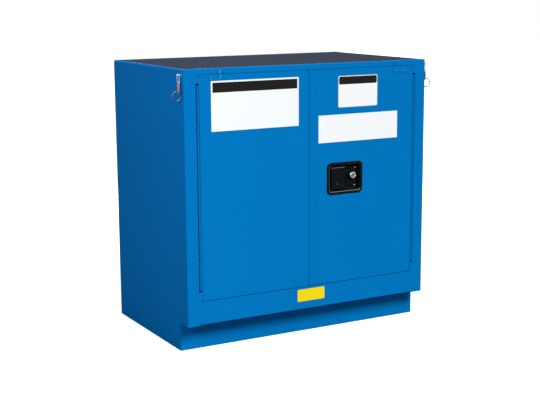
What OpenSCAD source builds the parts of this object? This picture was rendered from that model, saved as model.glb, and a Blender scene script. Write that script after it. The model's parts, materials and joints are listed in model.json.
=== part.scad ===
// Under-counter safety cabinet: double-wall sheet steel, two self-closing doors, paddle latch with key lock,
// shelf, leak-proof sump and hold-open chains. Millimetres; +Z up, +X to the right seen from the front,
// the doors face -Y. The origin is on the floor under the middle of the carcass.

/* [Carcass] */
// Overall width of the carcass
body_w = 889; // [760:1:1100]
// Overall depth of the carcass
body_d = 559; // [450:1:700]
// Overall height of the carcass
body_h = 889; // [780:1:1000]
// Thickness of the steel sheet
sheet_t = 1.2; // [0.9:0.1:1.6]
// Centreline radius of a folded edge
bend_r = 3; // [2:0.5:4]
// Centreline radius of the folds between the sides and the top
top_bend_r = 6.5; // [4:0.1:7]
// Air space behind the back of the liner and over its top
wall_gap = 38; // [30:1:45]
// Width of a front stile
stile_w = 41.5; // [38:0.5:50]
// Height of the front rail over the doors
head_h = 19; // [16:0.5:26]
// Depth of the pocket behind the front rail
head_d = 76; // [70:1:90]
// Height of the front rail under the doors
sill_h = 74; // [60:1:90]
// Depth of the door jambs
jamb_d = 44; // [42:1:50]
// Height of the recessed base
toe_h = 93; // [80:1:110]
// Depth of the recess in front of the base
toe_d = 59.6; // [45:0.1:80]
// Width of the small return flanges
lip_w = 15; // [12:1:20]
// Width of the rim in front of and beside the top panel
rim_w = 8; // [7.7:0.1:10]
// Depth of the leak-proof sump
sump_h = 51; // [40:1:56]
// How far the stiles reach below the sill rail
stile_drop = 2; // [0:0.5:4]

/* [Shelf] */
// Height of the shelf surface over the floor
shelf_z = 500; // [350:1:650]
// Depth of the shelf from front to back
shelf_d = 400; // [300:1:440]
// Height of the shelf's turned-down edges
shelf_edge = 32; // [20:1:40]
// Height of the spill lip round the shelf
shelf_lip = 10; // [6:1:16]
// Width of a shelf standard
standard_w = 16; // [14:1:22]
// Thickness of a shelf standard
standard_t = 4; // [3:0.5:6]
// Distance between the slots of a shelf standard
slot_pitch = 60; // [40:1:80]

/* [Doors] */
// Gap at the top and bottom of a door
door_gap = 1; // [0.8:0.1:3]
// Gap between the two doors
meet_gap = 1.2; // [1:0.1:4]
// Where the two doors meet, measured from the middle
meet_x = -8; // [-30:1:30]
// Overall thickness of a door
door_t = 40; // [36:1:42]
// Depth of the return flange of a door skin
door_flange = 12; // [8:1:14]
// Corner radius of a door skin
door_r = 6; // [3:0.5:12]
// How far the inner door pan stops below the top of the skin
pan_drop = 25; // [23:0.5:28]
// Clearance between the edges of a pan and its skin
pan_fit = 0.2; // [0.1:0.1:0.5]

/* [Hinges] */
// Height of the lower end of the hinges over the floor
hinge_z = 204; // [190:1:260]
// Length of one knuckle
knuckle_len = 12.7; // [10:0.1:20]
// Least distance of the upper end of the hinges from the front rail
hinge_in = 28; // [26:1:40]
// Width of the slot between a jamb and a door in which a hinge turns
hinge_slot = 9; // [8.5:0.1:10]
// Outer radius of a knuckle
knuckle_r = 3.2; // [3:0.1:3.4]
// Radius of a hinge pin
hinge_pin_r = 1.7; // [1.5:0.1:1.8]
// Thickness of a hinge leaf
leaf_t = 1.5; // [1.2:0.1:1.6]
// Gap between the end of a hinge and the face of the stile over or under it
hinge_end = 6; // [2:0.5:8]
// Width of a hinge leaf behind its knuckles
leaf_w = 26; // [18:1:30]
// Gap between two knuckles
knuckle_gap = 0.5; // [0.3:0.1:0.8]
// Radial clearance of a pin or shaft that turns
run_gap = 0.08; // [0.04:0.01:0.1]

/* [Latch] */
// Width of the flange of the latch tray
tray_w = 138; // [125:1:150]
// Height of the flange of the latch tray
tray_h = 106; // [95:1:120]
// Middle of the latch tray from the middle of the cabinet
tray_x = 127; // [110:1:150]
// Middle of the latch tray over the floor
tray_z = 514; // [450:1:560]
// Corner radius of the tray flange
tray_r = 12; // [8:1:16]
// Width of the tray flange round its recess
tray_rim = 8; // [6:0.5:10]
// Thickness of the tray wall
tray_t = 2; // [1.5:0.1:2.5]
// Depth of the tray behind the door skin
tray_d = 20; // [18:1:22]
// How far the tray flange stands in front of the door skin
tray_proud = 2; // [1:0.5:3]
// Width of the paddle
paddle_w = 54; // [46:1:58]
// Height of the paddle
paddle_h = 72; // [60:1:78]
// Wall thickness of the paddle
paddle_t = 2; // [1.6:0.1:3]
// Depth of the paddle's turned edges
paddle_edge = 9; // [6:0.5:10]
// Radius of the paddle pin
paddle_pin_r = 2; // [1.5:0.1:2.5]
// Distance of the paddle pin from the left wall of the recess
paddle_pin_in = 15; // [13:0.5:18]
// Turn of the paddle when it is pulled, in degrees
paddle_pull = 35; // [20:1:38]
// Distance from the hub to the pins of the rods
hub_r = 18; // [14:0.5:20]
// Thickness of the hub plate
hub_t = 3; // [2:0.5:4]
// Width of a lock rod
rod_w = 14; // [12:0.5:16]
// Thickness of a lock rod
rod_t = 4; // [3:0.5:4.5]
// Clearance between the nose of a rod and its strike
nose_gap = 1.4; // [1:0.1:3]
// Radius of the lock plug
plug_r = 7; // [6:0.5:8]
// Outer radius of the lock cylinder
lock_r = 11; // [9.5:0.5:12]
// Middle of the lock to the right of the tray's middle
lock_dx = 34; // [30:1:38]
// Height of the lock over the tray's middle
lock_dz = 6.4; // [0:0.2:12]

/* [Self closers] */
// Distance of the rail post from the hinge, along the front
post_dx = 75; // [70:1:85]
// Distance of the rail post behind the hinge
post_dy = 39; // [36:1:44]
// Distance of the door stud from the hinge, along the door
stud_dx = 60; // [54:1:64]
// Distance of the door stud behind the hinge
stud_dy = 13; // [11:1:15]
// Width of an arm or a link
arm_w = 12; // [10:0.5:13]
// Thickness of an arm or a link
arm_t = 3; // [2:0.5:3]
// Height between two moving plates
plate_gap = 0.8; // [0.5:0.1:1]
// Radius of the rail post
post_r = 3; // [2.5:0.1:3.5]
// Wire radius of the closing spring
spring_wire = 0.9; // [0.7:0.1:1]
// Number of turns of the closing spring
spring_turns = 3.5; // [2.5:1:3.5]

/* [Chains] */
// Distance of a hanging chain from the side panel
chain_off = 9.8; // [9.6:0.1:14]
// Distance of a chain behind the front
chain_y = 15; // [14.5:0.5:40]
// Height of the screw eyes below the top
eye_drop = 18; // [12:1:40]
// Outer radius of the end ring
ring_r = 15.5; // [13:0.5:15.5]
// Wire radius of the end ring
ring_wire = 1.5; // [1.2:0.1:1.7]
// Straight length of the chain link
link_len = 18; // [12:0.5:24]
// Distance between the two holes of the fusible link
fuse_len = 26; // [20:1:34]

/* [Vents] */
// Inner radius of a vent sleeve
vent_r = 25.4; // [20:0.1:28]
// Distance of a vent from the side of the cabinet
vent_in = 110; // [90:1:160]
// Distance of a vent from the top or from the sump
vent_off = 90; // [70:1:140]

/* [Hidden] */
$fn = 48;

COAT = "#0a66b8";
TOP = "#474d5c";
ZINC = "#b9bdc2";
STEEL = "#d7dade";
BLACK = "#1b1d20";
BRASS = "#b98a5a";

// Carcass planes, with y measured back from the front
half_w = body_w / 2;
jamb_x = half_w - stile_w;
head_z = body_h - head_h;
sill_z = toe_h + sill_h;
liner_x = jamb_x + sheet_t;
liner_back_y = body_d - 2 * sheet_t - wall_gap;
liner_top_z = body_h - 2 * sheet_t - wall_gap;
sump_z = sill_z - sump_h;
rail_bend = 1.5;
jamb_bend = 1;
carcass_z = toe_h - stile_drop;

// Doors
hinge_x = jamb_x - hinge_slot / 2;
hinge_y = 1;
door_edge_x = jamb_x - hinge_slot;
door_top = head_z - door_gap;
door_bottom = sill_z + door_gap;
pan_top = door_top - pan_drop;
pan_bottom = door_bottom + sheet_t + pan_fit;
knuckle_n = floor((head_z - hinge_in - hinge_z) / (2 * knuckle_len));
hinge_len = 2 * knuckle_n * knuckle_len;

// Latch, with x from the middle of the cabinet and y back from the front
tray_in_w = tray_w - 2 * tray_rim;
tray_in_h = tray_h - 2 * tray_rim;
pin_x = tray_x - tray_in_w / 2 + paddle_pin_in;
pin_y = 6;
tail_w = 3.4;
hub_y = tray_d + 2.5;
hub_x = pin_x;
hub_z = tray_z + (hub_y + hub_t / 2 - pin_y);
rod_y = hub_y + hub_t + 1.5;
hub_pin_r = 3;
slide_gap = 0.7;
lock_x = tray_x + lock_dx;
lock_z = tray_z + lock_dz;
lock_face_y = 1;
housing_y = 12;
cam_y = tray_d + 1.5;
cam_t = 2.5;
nose_top = head_z - nose_gap;
nose_bottom = sill_z + nose_gap;

// Closers
tab_z = pan_top + 2;
link_z = tab_z + arm_t + plate_gap;
arm_z = link_z + arm_t + plate_gap;
stud_r = 2.5;
stud_gap = 0.3;
post_x = hinge_x - post_dx;
post_y = hinge_y + post_dy;
stud_x = hinge_x - stud_dx;
stud_y = hinge_y + stud_dy;
knee_x = post_x - stud_dx;
knee_y = post_y + stud_dy;

// Chains: heights of the wires, from the eye down
wire_r = 1.2;
eye_wire = 1.2;
eye_ring = 4;
hang_gap = 0.4;
hole_r = 2.7;
panel_gap = 0.6;
loop_r = 3.6;
chain_x = half_w + chain_off;
eye_z = body_h - eye_drop;
loop_top = eye_z + wire_r + eye_wire + hang_gap;
bar_z = loop_top - 2 * loop_r - link_len;
fuse_top = bar_z + wire_r + hang_gap - hole_r;
fuse_bottom = fuse_top - fuse_len;
fuse_t = 1.6;
ring_arc = ring_r - ring_wire;
ring_lean = asin(max(0, ring_r + panel_gap - chain_off) / ring_arc);
ring_top = fuse_bottom - hole_r + ring_wire / cos(ring_lean) + fuse_t / 2 * tan(ring_lean) + hang_gap;

// ---------- helpers ----------

// Moves pieces drawn with y measured back from the front
module from_front() {
    translate([0, -body_d / 2, 0]) children();
}

// Repeats a right-hand piece on the left
module both_sides() {
    children();
    mirror([1, 0, 0]) children();
}

// Side wanted: 1 is right, -1 is left
module on_side(side) {
    if (side > 0) children();
    else mirror([1, 0, 0]) children();
}

// Extrudes a (y, z) profile along X, centred
module along_x(length) {
    translate([-length / 2, 0, 0]) rotate([90, 0, 90]) linear_extrude(length) children();
}

// Extrudes an (x, z) profile from y0 to y1
module along_y(y0, y1) {
    translate([0, y1, 0]) rotate([90, 0, 0]) linear_extrude(y1 - y0) children();
}

// A block given by its lowest and highest corners
module block(low, high) {
    translate(low) cube(high - low);
}

function unit2(v) = v / norm(v);

// A strip of sheet that follows an orthogonal centreline, with round folds; r is one radius or one for each point
module folded(path, t = sheet_t, r = bend_r) {
    last = len(path) - 2;
    rs = is_list(r) ? r : [for (point = path) r];
    for (i = [0 : last]) {
        u = unit2(path[i + 1] - path[i]);
        a = path[i] + (i > 0 ? u * rs[i] : [0, 0]);
        b = path[i + 1] - (i < last ? u * rs[i + 1] : [0, 0]);
        side = [abs(u[1]), abs(u[0])] * t / 2;
        low = [min(a[0], b[0]), min(a[1], b[1])] - side;
        high = [max(a[0], b[0]), max(a[1], b[1])] + side;
        translate(low) square(high - low);
    }
    for (i = [1 : 1 : last]) {
        u = unit2(path[i] - path[i - 1]);
        v = unit2(path[i + 1] - path[i]);
        reach = rs[i] + t / 2;
        centre = path[i] - u * rs[i] + v * rs[i];
        corner = centre + (u - v) * reach;
        low = [min(centre[0], corner[0]), min(centre[1], corner[1])];
        intersection() {
            translate(centre) difference() {
                circle(reach);
                circle(rs[i] - t / 2);
            }
            translate(low) square(reach);
        }
    }
}

// A rectangle with round corners, centred
module rounded(w, h, r) {
    square([w - 2 * r, h], center = true);
    square([w, h - 2 * r], center = true);
    for (x = [-1, 1], y = [-1, 1])
        translate([x * (w / 2 - r), y * (h / 2 - r)]) circle(r);
}

// A rounded plate in the plane of the front, from y0 to y1
module front_plate(x0, x1, z0, z1, y0, y1, r) {
    along_y(y0, y1) translate([(x0 + x1) / 2, (z0 + z1) / 2]) rounded(x1 - x0, z1 - z0, r);
}

// A cylinder along Y, from y0 to y1
module shaft_y(x, y0, y1, z, r) {
    translate([x, y1, z]) rotate([90, 0, 0]) cylinder(h = y1 - y0, r = r);
}

// Outline of a flat bar with a round eye at each of two points
module bar(a, b, w) {
    waist = w - 2;
    for (p = [a, b]) translate(p) circle(w / 2);
    turn = atan2(b[1] - a[1], b[0] - a[0]);
    translate(a) rotate(turn) translate([0, -waist / 2]) square([norm(b - a), waist]);
}

// Points along a coil that climbs from z = 0, with a straight stub at each end
function coil_path(r, pitch, turns, stub, steps = 8) = concat(
    [[r, -stub, 0]],
    [for (i = [0 : turns * steps]) [r * cos(i * 360 / steps), r * sin(i * 360 / steps), i * pitch / steps]],
    [[r * cos(turns * 360) - stub * sin(turns * 360), r * sin(turns * 360) + stub * cos(turns * 360),
        turns * pitch]]);

// Direction of a path at point i
function along(path, i) = unit2(path[min(i + 1, len(path) - 1)] - path[max(i - 1, 0)]);

// One ring of a round tube about point i of a path that climbs along Z
function tube_ring(path, i, r, sides) =
    let (d = along(path, i), out = unit2(cross(d, [0, 0, 1])), up = cross(out, d))
    [for (s = [0 : sides - 1]) path[i] + r * (cos(s * 360 / sides) * out + sin(s * 360 / sides) * up)];

// A round tube along a path
module tube(path, r, sides = 6) {
    n = len(path);
    points = [for (i = [0 : n - 1]) each tube_ring(path, i, r, sides)];
    walls = [for (i = [0 : n - 2], s = [0 : sides - 1])
        let (a = i * sides + s, b = i * sides + (s + 1) % sides)
        each [[a, b + sides, b], [a, a + sides, b + sides]]];
    start = [for (s = [1 : sides - 2]) [0, s, s + 1]];
    end = [for (s = [1 : sides - 2]) [(n - 1) * sides, (n - 1) * sides + s + 1, (n - 1) * sides + s]];
    polyhedron(points, concat(walls, start, end));
}

// Least gap of a coil to itself, measured between points that are at least six steps apart
function coil_gap(path, r, apart = 6) =
    min([for (i = [0 : len(path) - 1 - apart], j = [i + apart : len(path) - 1]) norm(path[i] - path[j])]) - 2 * r;

// ---------- carcass ----------

// Outer form of the carcass over its base, less t on every face: round at the front, the sides and the top
module carcass_form(t) {
    edge_r = bend_r + sheet_t / 2 - t;
    depth = body_d - sheet_t - 2 * t;
    intersection() {
        translate([0, t + depth / 2, carcass_z]) linear_extrude(body_h) rounded(body_w - 2 * t, depth, edge_r);
        along_y(0, body_d) rounded(body_w - 2 * t, 2 * (body_h - t), top_bend_r + sheet_t / 2 - t);
        along_x(body_w) translate([body_d, 0]) rounded(2 * (body_d - t), 2 * (body_h - t), edge_r);
    }
}

// Plan of the lower part of a side panel, behind the toe space
module side_foot_plan() {
    wall = half_w - sheet_t / 2;
    folded([[wall - lip_w, body_d - 1.5 * sheet_t], [wall, body_d - 1.5 * sheet_t],
        [wall, toe_d + sheet_t / 2], [wall - lip_w, toe_d + sheet_t / 2]]);
}

// Stile, jamb, wall, rim and back flange in one sheet; the stile reaches to the door over and under the hinge
module side_panel(side) {
    foot_y = toe_d + bend_r + sheet_t;
    fold = jamb_bend + sheet_t / 2;
    hinge_z0 = hinge_z - hinge_end;
    hinge_z1 = hinge_z + hinge_len + hinge_end;
    face_x = door_edge_x + door_gap;
    color(COAT) from_front() on_side(side) {
        difference() {
            carcass_form(0);
            carcass_form(sheet_t);
            block([-half_w - 1, -1, 0], [jamb_x, body_d, body_h + 1]);
            block([jamb_x - 1, -1, hinge_z0], [jamb_x + fold, sheet_t + 1, hinge_z1]);
            block([jamb_x - 1, rim_w, body_h - 2 * sheet_t], [half_w - rim_w, body_d, body_h + 1]);
            block([jamb_x - 1, body_d - 3 * sheet_t, 0], [half_w - lip_w, body_d, body_h]);
            block([half_w - lip_w - 1, body_d - 3 * sheet_t, body_h - lip_w], [half_w - rim_w, body_d, body_h]);
        }
        translate([0, 0, hinge_z0]) linear_extrude(hinge_z1 - hinge_z0) folded([[jamb_x + 2 * fold, sheet_t / 2],
            [jamb_x + sheet_t / 2, sheet_t / 2], [jamb_x + sheet_t / 2, jamb_d]], r = jamb_bend);
        for (z = [[carcass_z, hinge_z0], [hinge_z1, body_h - sheet_t]])
            block([jamb_x, sheet_t / 2, z[0]], [jamb_x + sheet_t, jamb_d, z[1]]);
        for (z = [[sill_z, hinge_z0], [hinge_z1, head_z]])
            block([face_x, 0, z[0]], [jamb_x + sheet_t, sheet_t, z[1]]);
        linear_extrude(carcass_z) side_foot_plan();
        block([half_w - lip_w, foot_y, 0], [half_w - sheet_t / 2, body_d - 2 * sheet_t, sheet_t]);
    }
}

// Places of the two vents on the back: [x, z]
vents = [[-half_w + vent_in, sill_z + vent_off], [half_w - vent_in, liner_top_z - vent_off]];

// Back sheet, folded forward at the top into a rim behind the top panel
module back_panel() {
    edge = half_w - rim_w;
    color(COAT) from_front() {
        difference() {
            along_y(body_d - sheet_t, body_d) rounded(body_w, 2 * body_h, top_bend_r + sheet_t / 2);
            block([-half_w - 1, 0, -body_h - 1], [half_w + 1, body_d + 1, 0]);
            block([-edge, body_d - 5, body_h - lip_w], [edge, body_d + 5, body_h + 1]);
            for (v = vents) shaft_y(v[0], body_d - 5, body_d + 5, v[1], vent_r + sheet_t + pan_fit);
            shaft_y(stud_hole_x, body_d - 5, body_d + 5, stud_hole_z, ground_r + pan_fit);
        }
        along_x(2 * edge) folded([[body_d - rim_w, body_h - sheet_t / 2], [body_d - sheet_t / 2, body_h - sheet_t / 2],
            [body_d - sheet_t / 2, body_h - lip_w]], r = bend_r);
    }
}

module top_panel() {
    edge = half_w - rim_w;
    color(TOP) from_front() along_y(rim_w, body_d - rim_w) folded([
        [-edge + sheet_t / 2, body_h - lip_w], [-edge + sheet_t / 2, body_h - sheet_t / 2],
        [edge - sheet_t / 2, body_h - sheet_t / 2], [edge - sheet_t / 2, body_h - lip_w]], r = 1);
}

module top_rail() {
    color(COAT) from_front() difference() {
        along_x(2 * jamb_x) folded([[rim_w, body_h - sheet_t / 2], [sheet_t / 2, body_h - sheet_t / 2],
            [sheet_t / 2, head_z + sheet_t / 2], [head_d, head_z + sheet_t / 2]], r = [0, bend_r, rail_bend, 0]);
        rod_hole(head_z - 5, head_z + 5, rod_upper_x);
        both_sides() translate([post_x, post_y, head_z - 5]) cylinder(h = 10, r = post_r + run_gap);
    }
}

module sill_rail() {
    color(COAT) from_front() difference() {
        along_x(2 * jamb_x) folded([[lip_w, toe_h + sheet_t / 2], [sheet_t / 2, toe_h + sheet_t / 2],
            [sheet_t / 2, sill_z - sheet_t / 2], [jamb_d, sill_z - sheet_t / 2]], r = rail_bend);
        rod_hole(sill_z - 5, sill_z + 5, rod_lower_x);
    }
}

module toe_kick() {
    color(COAT) from_front() along_x(body_w - 2 * sheet_t) folded([[toe_d + lip_w, toe_h - sheet_t / 2],
        [toe_d - sheet_t / 2, toe_h - sheet_t / 2], [toe_d - sheet_t / 2, 0]], r = rail_bend);
}

// Floor of the double wall, notched round the two jambs
module bottom_pan() {
    wall = half_w - sheet_t;
    color(COAT) from_front() difference() {
        block([-wall, lip_w, toe_h], [wall, body_d - 2 * sheet_t - bend_r, toe_h + sheet_t]);
        both_sides() block([jamb_x - pan_fit, lip_w - 1, toe_h - 1],
            [jamb_x + sheet_t + pan_fit, jamb_d + pan_fit, toe_h + sheet_t + 1]);
    }
}

// Side sheet of the liner, lapped behind the jamb and raised beside the pocket of the front rail
module liner_side(side) {
    front = jamb_d - lip_w;
    color(COAT) from_front() on_side(side) {
        block([liner_x, front, sump_z], [liner_x + sheet_t, liner_back_y, liner_top_z]);
        block([liner_x, front, liner_top_z - 1], [liner_x + sheet_t, head_d + sheet_t, head_z + sheet_t]);
    }
}

module liner_back() {
    color(COAT) from_front() difference() {
        block([-liner_x, liner_back_y, sump_z], [liner_x, liner_back_y + sheet_t, liner_top_z]);
        for (v = vents)
            shaft_y(v[0], liner_back_y - 5, liner_back_y + 5, v[1], vent_r + sheet_t + pan_fit);
    }
}

module liner_top() {
    color(COAT) from_front() along_x(2 * liner_x) folded([[head_d + sheet_t / 2, head_z + sheet_t],
        [head_d + sheet_t / 2, liner_top_z + sheet_t / 2], [liner_back_y, liner_top_z + sheet_t / 2]]);
}

module sump_tray() {
    front = jamb_d + sheet_t;
    wall = liner_x - pan_fit;
    back = liner_back_y - pan_fit;
    color(COAT) from_front() difference() {
        block([-wall, front, sump_z - sheet_t], [wall, back, sill_z]);
        block([-wall + sheet_t, front + sheet_t, sump_z], [wall - sheet_t, back - sheet_t, sill_z + 1]);
    }
}

// ---------- shelf ----------

shelf_side = liner_x - standard_t - 2;
shelf_y1 = liner_back_y - 12;
shelf_y0 = shelf_y1 - shelf_d;
standard_z0 = sill_z + 8;
standard_z1 = liner_top_z - 20;
standard_ys = [shelf_y0 + 60, shelf_y1 - 60];
slot_n = floor((standard_z1 - standard_z0 - slot_pitch / 2) / slot_pitch);
clip_z = shelf_z - shelf_edge;

module shelf() {
    color(COAT) from_front() difference() {
        block([-shelf_side, shelf_y0, shelf_z - shelf_edge], [shelf_side, shelf_y1, shelf_z + shelf_lip]);
        block([-shelf_side + sheet_t, shelf_y0 + sheet_t, shelf_z],
            [shelf_side - sheet_t, shelf_y1 - sheet_t, shelf_z + shelf_lip + 1]);
        block([-shelf_side + sheet_t, shelf_y0 + sheet_t, shelf_z - shelf_edge - 1],
            [shelf_side - sheet_t, shelf_y1 - sheet_t, shelf_z - sheet_t]);
    }
}

// Slotted upright strips, two on each side of the liner
module shelf_standards() {
    slot_w = 6;
    slot_h = 14;
    color(ZINC) from_front() both_sides() for (y = standard_ys) difference() {
        block([liner_x - standard_t, y - standard_w / 2, standard_z0], [liner_x, y + standard_w / 2, standard_z1]);
        for (i = [0 : slot_n]) {
            z = standard_z0 + slot_pitch / 2 + i * slot_pitch;
            block([liner_x - standard_t - 1, y - slot_w / 2, z], [liner_x - sheet_t, y + slot_w / 2, z + slot_h]);
        }
    }
}

// Angle clips that hang on the standards and carry the shelf
module shelf_clips() {
    ledge = 14;
    web = 20;
    t = 2;
    color(ZINC) from_front() both_sides() for (y = standard_ys) along_y(y - 6, y + 6) {
        x = liner_x - standard_t;
        translate([x - ledge, clip_z - t]) square([ledge, t]);
        translate([x - t, clip_z - t - web]) square([t, web]);
    }
}

// ---------- vents and grounding ----------

vent_flange = 3;
bung_face = 5;
ground_r = 3;
stud_hole_x = half_w - 60;
stud_hole_z = toe_h + 60;

module vent_sleeves() {
    color(ZINC) from_front() for (v = vents) difference() {
        union() {
            shaft_y(v[0], liner_back_y - 2, body_d, v[1], vent_r + sheet_t);
            shaft_y(v[0], body_d, body_d + vent_flange, v[1], vent_r + 7);
            shaft_y(v[0], liner_back_y - 2, liner_back_y, v[1], vent_r + 6);
        }
        shaft_y(v[0], liner_back_y - 5, body_d + vent_flange + 1, v[1], vent_r);
    }
}

// Drilled discs that stop a flame at the inner mouth of each sleeve
module vent_screens() {
    hole = 2.2;
    pitch = 6.4;
    color(STEEL) from_front() for (v = vents) difference() {
        shaft_y(v[0], liner_back_y + 2, liner_back_y + 3.5, v[1], vent_r - run_gap);
        for (row = [0 : 3]) {
            count = max(1, 6 * row);
            for (i = [0 : count - 1]) {
                a = i * 360 / count;
                shaft_y(v[0] + row * pitch * cos(a), liner_back_y, liner_back_y + 5, v[1] + row * pitch * sin(a), hole);
            }
        }
    }
}

// Screwed bungs that close the outer mouths, each with a cross bar to turn it by
module vent_bungs() {
    y = body_d + vent_flange;
    color(ZINC) from_front() for (v = vents) {
        shaft_y(v[0], body_d - 12, y, v[1], vent_r);
        difference() {
            shaft_y(v[0], y, y + bung_face, v[1], vent_r + 3);
            shaft_y(v[0], y + 1.5, y + bung_face + 1, v[1], vent_r - 3);
        }
        block([v[0] - vent_r + 2, y, v[1] - 3], [v[0] + vent_r - 2, y + bung_face, v[1] + 3]);
    }
}

// Grounding stud with a washer and a nut on each face of the back, low on the right
module grounding_stud() {
    washer_t = 1.2;
    nut_t = 4;
    color(BRASS) from_front() {
        shaft_y(stud_hole_x, body_d - sheet_t - 8, body_d + 7, stud_hole_z, ground_r);
        for (y = [body_d - sheet_t - washer_t, body_d])
            shaft_y(stud_hole_x, y, y + washer_t, stud_hole_z, ground_r + 5);
        for (y = [body_d - sheet_t - washer_t, body_d + washer_t + nut_t])
            translate([stud_hole_x, y, stud_hole_z]) rotate([90, 0, 0]) cylinder(h = nut_t, r = ground_r + 3, $fn = 6);
    }
}

// ---------- hinges ----------

// Heights of the knuckles of one leaf, the frame's first
function knuckle_zs(first) = [for (i = [0 : knuckle_n - 1]) hinge_z + (2 * i + first) * knuckle_len];

// Leaf with its knuckles; low_x is where its sheet starts and edge_x the face that it is riveted to
module hinge_leaf(first, low_x, edge_x) {
    bore = hinge_pin_r + run_gap;
    back_y = hinge_y + knuckle_r;
    difference() {
        union() {
            for (z = knuckle_zs(first)) {
                low = z + knuckle_gap / 2;
                high = z + knuckle_len - knuckle_gap / 2;
                translate([hinge_x, hinge_y, low]) cylinder(h = high - low, r = knuckle_r);
                block([min(hinge_x, edge_x), 0, low], [max(hinge_x, edge_x), back_y, high]);
                block([low_x, back_y - 1, low], [low_x + leaf_t, back_y + 2, high]);
            }
            block([low_x, back_y + 1, hinge_z], [low_x + leaf_t, hinge_y + leaf_w, hinge_z + hinge_len]);
        }
        translate([hinge_x, hinge_y, hinge_z - 1]) cylinder(h = hinge_len + 2, r = bore);
    }
}

module hinge_frame_leaf(side) {
    color(COAT) from_front() on_side(side) hinge_leaf(0, jamb_x - leaf_t, jamb_x);
}

module hinge_door_leaf(side) {
    color(COAT) from_front() on_side(side) hinge_leaf(1, door_edge_x, door_edge_x);
}

module hinge_pin(side) {
    color(STEEL) from_front() on_side(side) translate([hinge_x, hinge_y, hinge_z - 1])
        cylinder(h = hinge_len + 2, r = hinge_pin_r);
}

// ---------- doors ----------

// Outer and meeting edges of a door: [left, right]
function door_span(side) = side > 0
    ? [meet_x + meet_gap / 2, door_edge_x]
    : [-door_edge_x, meet_x - meet_gap / 2];

// Front sheet of a door with its four return flanges
module door_skin_shell(side) {
    span = door_span(side);
    difference() {
        front_plate(span[0], span[1], door_bottom, door_top, 0, door_flange, door_r);
        front_plate(span[0] + sheet_t, span[1] - sheet_t, door_bottom + sheet_t, door_top - sheet_t,
            sheet_t, door_flange + 1, door_r - sheet_t);
    }
}

// Inner pan of a door, open towards the skin
module door_pan_shell(side) {
    span = door_span(side);
    inset = sheet_t + pan_fit;
    difference() {
        front_plate(span[0] + inset, span[1] - inset, pan_bottom, pan_top, sheet_t, door_t, door_r - sheet_t);
        front_plate(span[0] + inset + sheet_t, span[1] - inset - sheet_t, pan_bottom + sheet_t, pan_top - sheet_t,
            0, door_t - sheet_t, door_r - 2 * sheet_t);
    }
}

module door_skin_left() {
    color(COAT) from_front() door_skin_shell(-1);
}

module door_pan_left() {
    color(COAT) from_front() door_pan_shell(-1);
}

module door_skin_right() {
    cut_w = tray_in_w + 2 * tray_t + 2 * pan_fit;
    cut_h = tray_in_h + 2 * tray_t + 2 * pan_fit;
    color(COAT) from_front() difference() {
        door_skin_shell(1);
        front_plate(tray_x - cut_w / 2, tray_x + cut_w / 2, tray_z - cut_h / 2, tray_z + cut_h / 2,
            -1, sheet_t + 1, tray_r - tray_rim + tray_t + 2);
    }
}

module door_pan_right() {
    color(COAT) from_front() difference() {
        door_pan_shell(1);
        for (p = [[pan_top, rod_upper_x], [pan_bottom, rod_lower_x]]) {
            rod_slot(p[0] - 5, p[0] + 5, p[1]);
            rod_hole(p[0] - 5, p[0] + 5, p[1]);
        }
    }
}

// ---------- latch ----------

rod_upper_x = hub_x - hub_r;
rod_lower_x = hub_x + hub_r;
nose_r = 5;
strike_t = 3;
strike_w = 48;
strike_d = 24;

// A hole for a rod in a sheet between two heights
module rod_slot(z0, z1, x) {
    gap = 0.8;
    block([x - rod_w / 2 - gap, rod_y - gap, z0], [x + rod_w / 2 + gap, rod_y + rod_t + gap, z1]);
}

// A round hole for the nose of a rod
module rod_hole(z0, z1, x) {
    translate([x, rod_y + rod_t / 2, z0]) cylinder(h = z1 - z0, r = nose_r + 2);
}

// Black tray: flange over the skin, deep recess, slot for the paddle's tail and hole for the lock
module latch_tray() {
    w = tray_in_w;
    h = tray_in_h;
    r = tray_r - tray_rim + 2;
    color(BLACK) from_front() difference() {
        union() {
            front_plate(tray_x - tray_w / 2, tray_x + tray_w / 2, tray_z - tray_h / 2, tray_z + tray_h / 2,
                -tray_proud, 0, tray_r);
            front_plate(tray_x - w / 2 - tray_t, tray_x + w / 2 + tray_t, tray_z - h / 2 - tray_t,
                tray_z + h / 2 + tray_t, 0, tray_d, r + tray_t);
        }
        difference() {
            front_plate(tray_x - w / 2, tray_x + w / 2, tray_z - h / 2, tray_z + h / 2,
                -tray_proud - 1, tray_d - tray_t, r);
            for (z = [[tray_z - h / 2 - 1, paddle_z0 - pin_shows], [paddle_z1 + pin_shows, tray_z + h / 2 + 1]]) {
                translate([pin_x, pin_y, z[0]]) cylinder(h = z[1] - z[0], r = paddle_pin_r + 2);
                block([pin_x - paddle_pin_r - 2, pin_y, z[0]], [pin_x + paddle_pin_r + 2, tray_d, z[1]]);
            }
        }
        block([pin_x - 6, tray_d - tray_t - 1, tray_z - 5], [pin_x + 20, tray_d + 1, tray_z + 5]);
        shaft_y(lock_x, tray_d - tray_t - 1, tray_d + 1, lock_z, lock_r + pan_fit);
        translate([pin_x, pin_y, tray_z - h / 2 - 1]) cylinder(h = h + 2, r = paddle_bore);
    }
}

paddle_z0 = tray_z - paddle_h / 2;
paddle_z1 = tray_z + paddle_h / 2;
paddle_x0 = pin_x - 4;
paddle_x1 = paddle_x0 + paddle_w;
paddle_y0 = 0.5;
pin_shows = 3;
paddle_bore = paddle_pin_r + run_gap;

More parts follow.
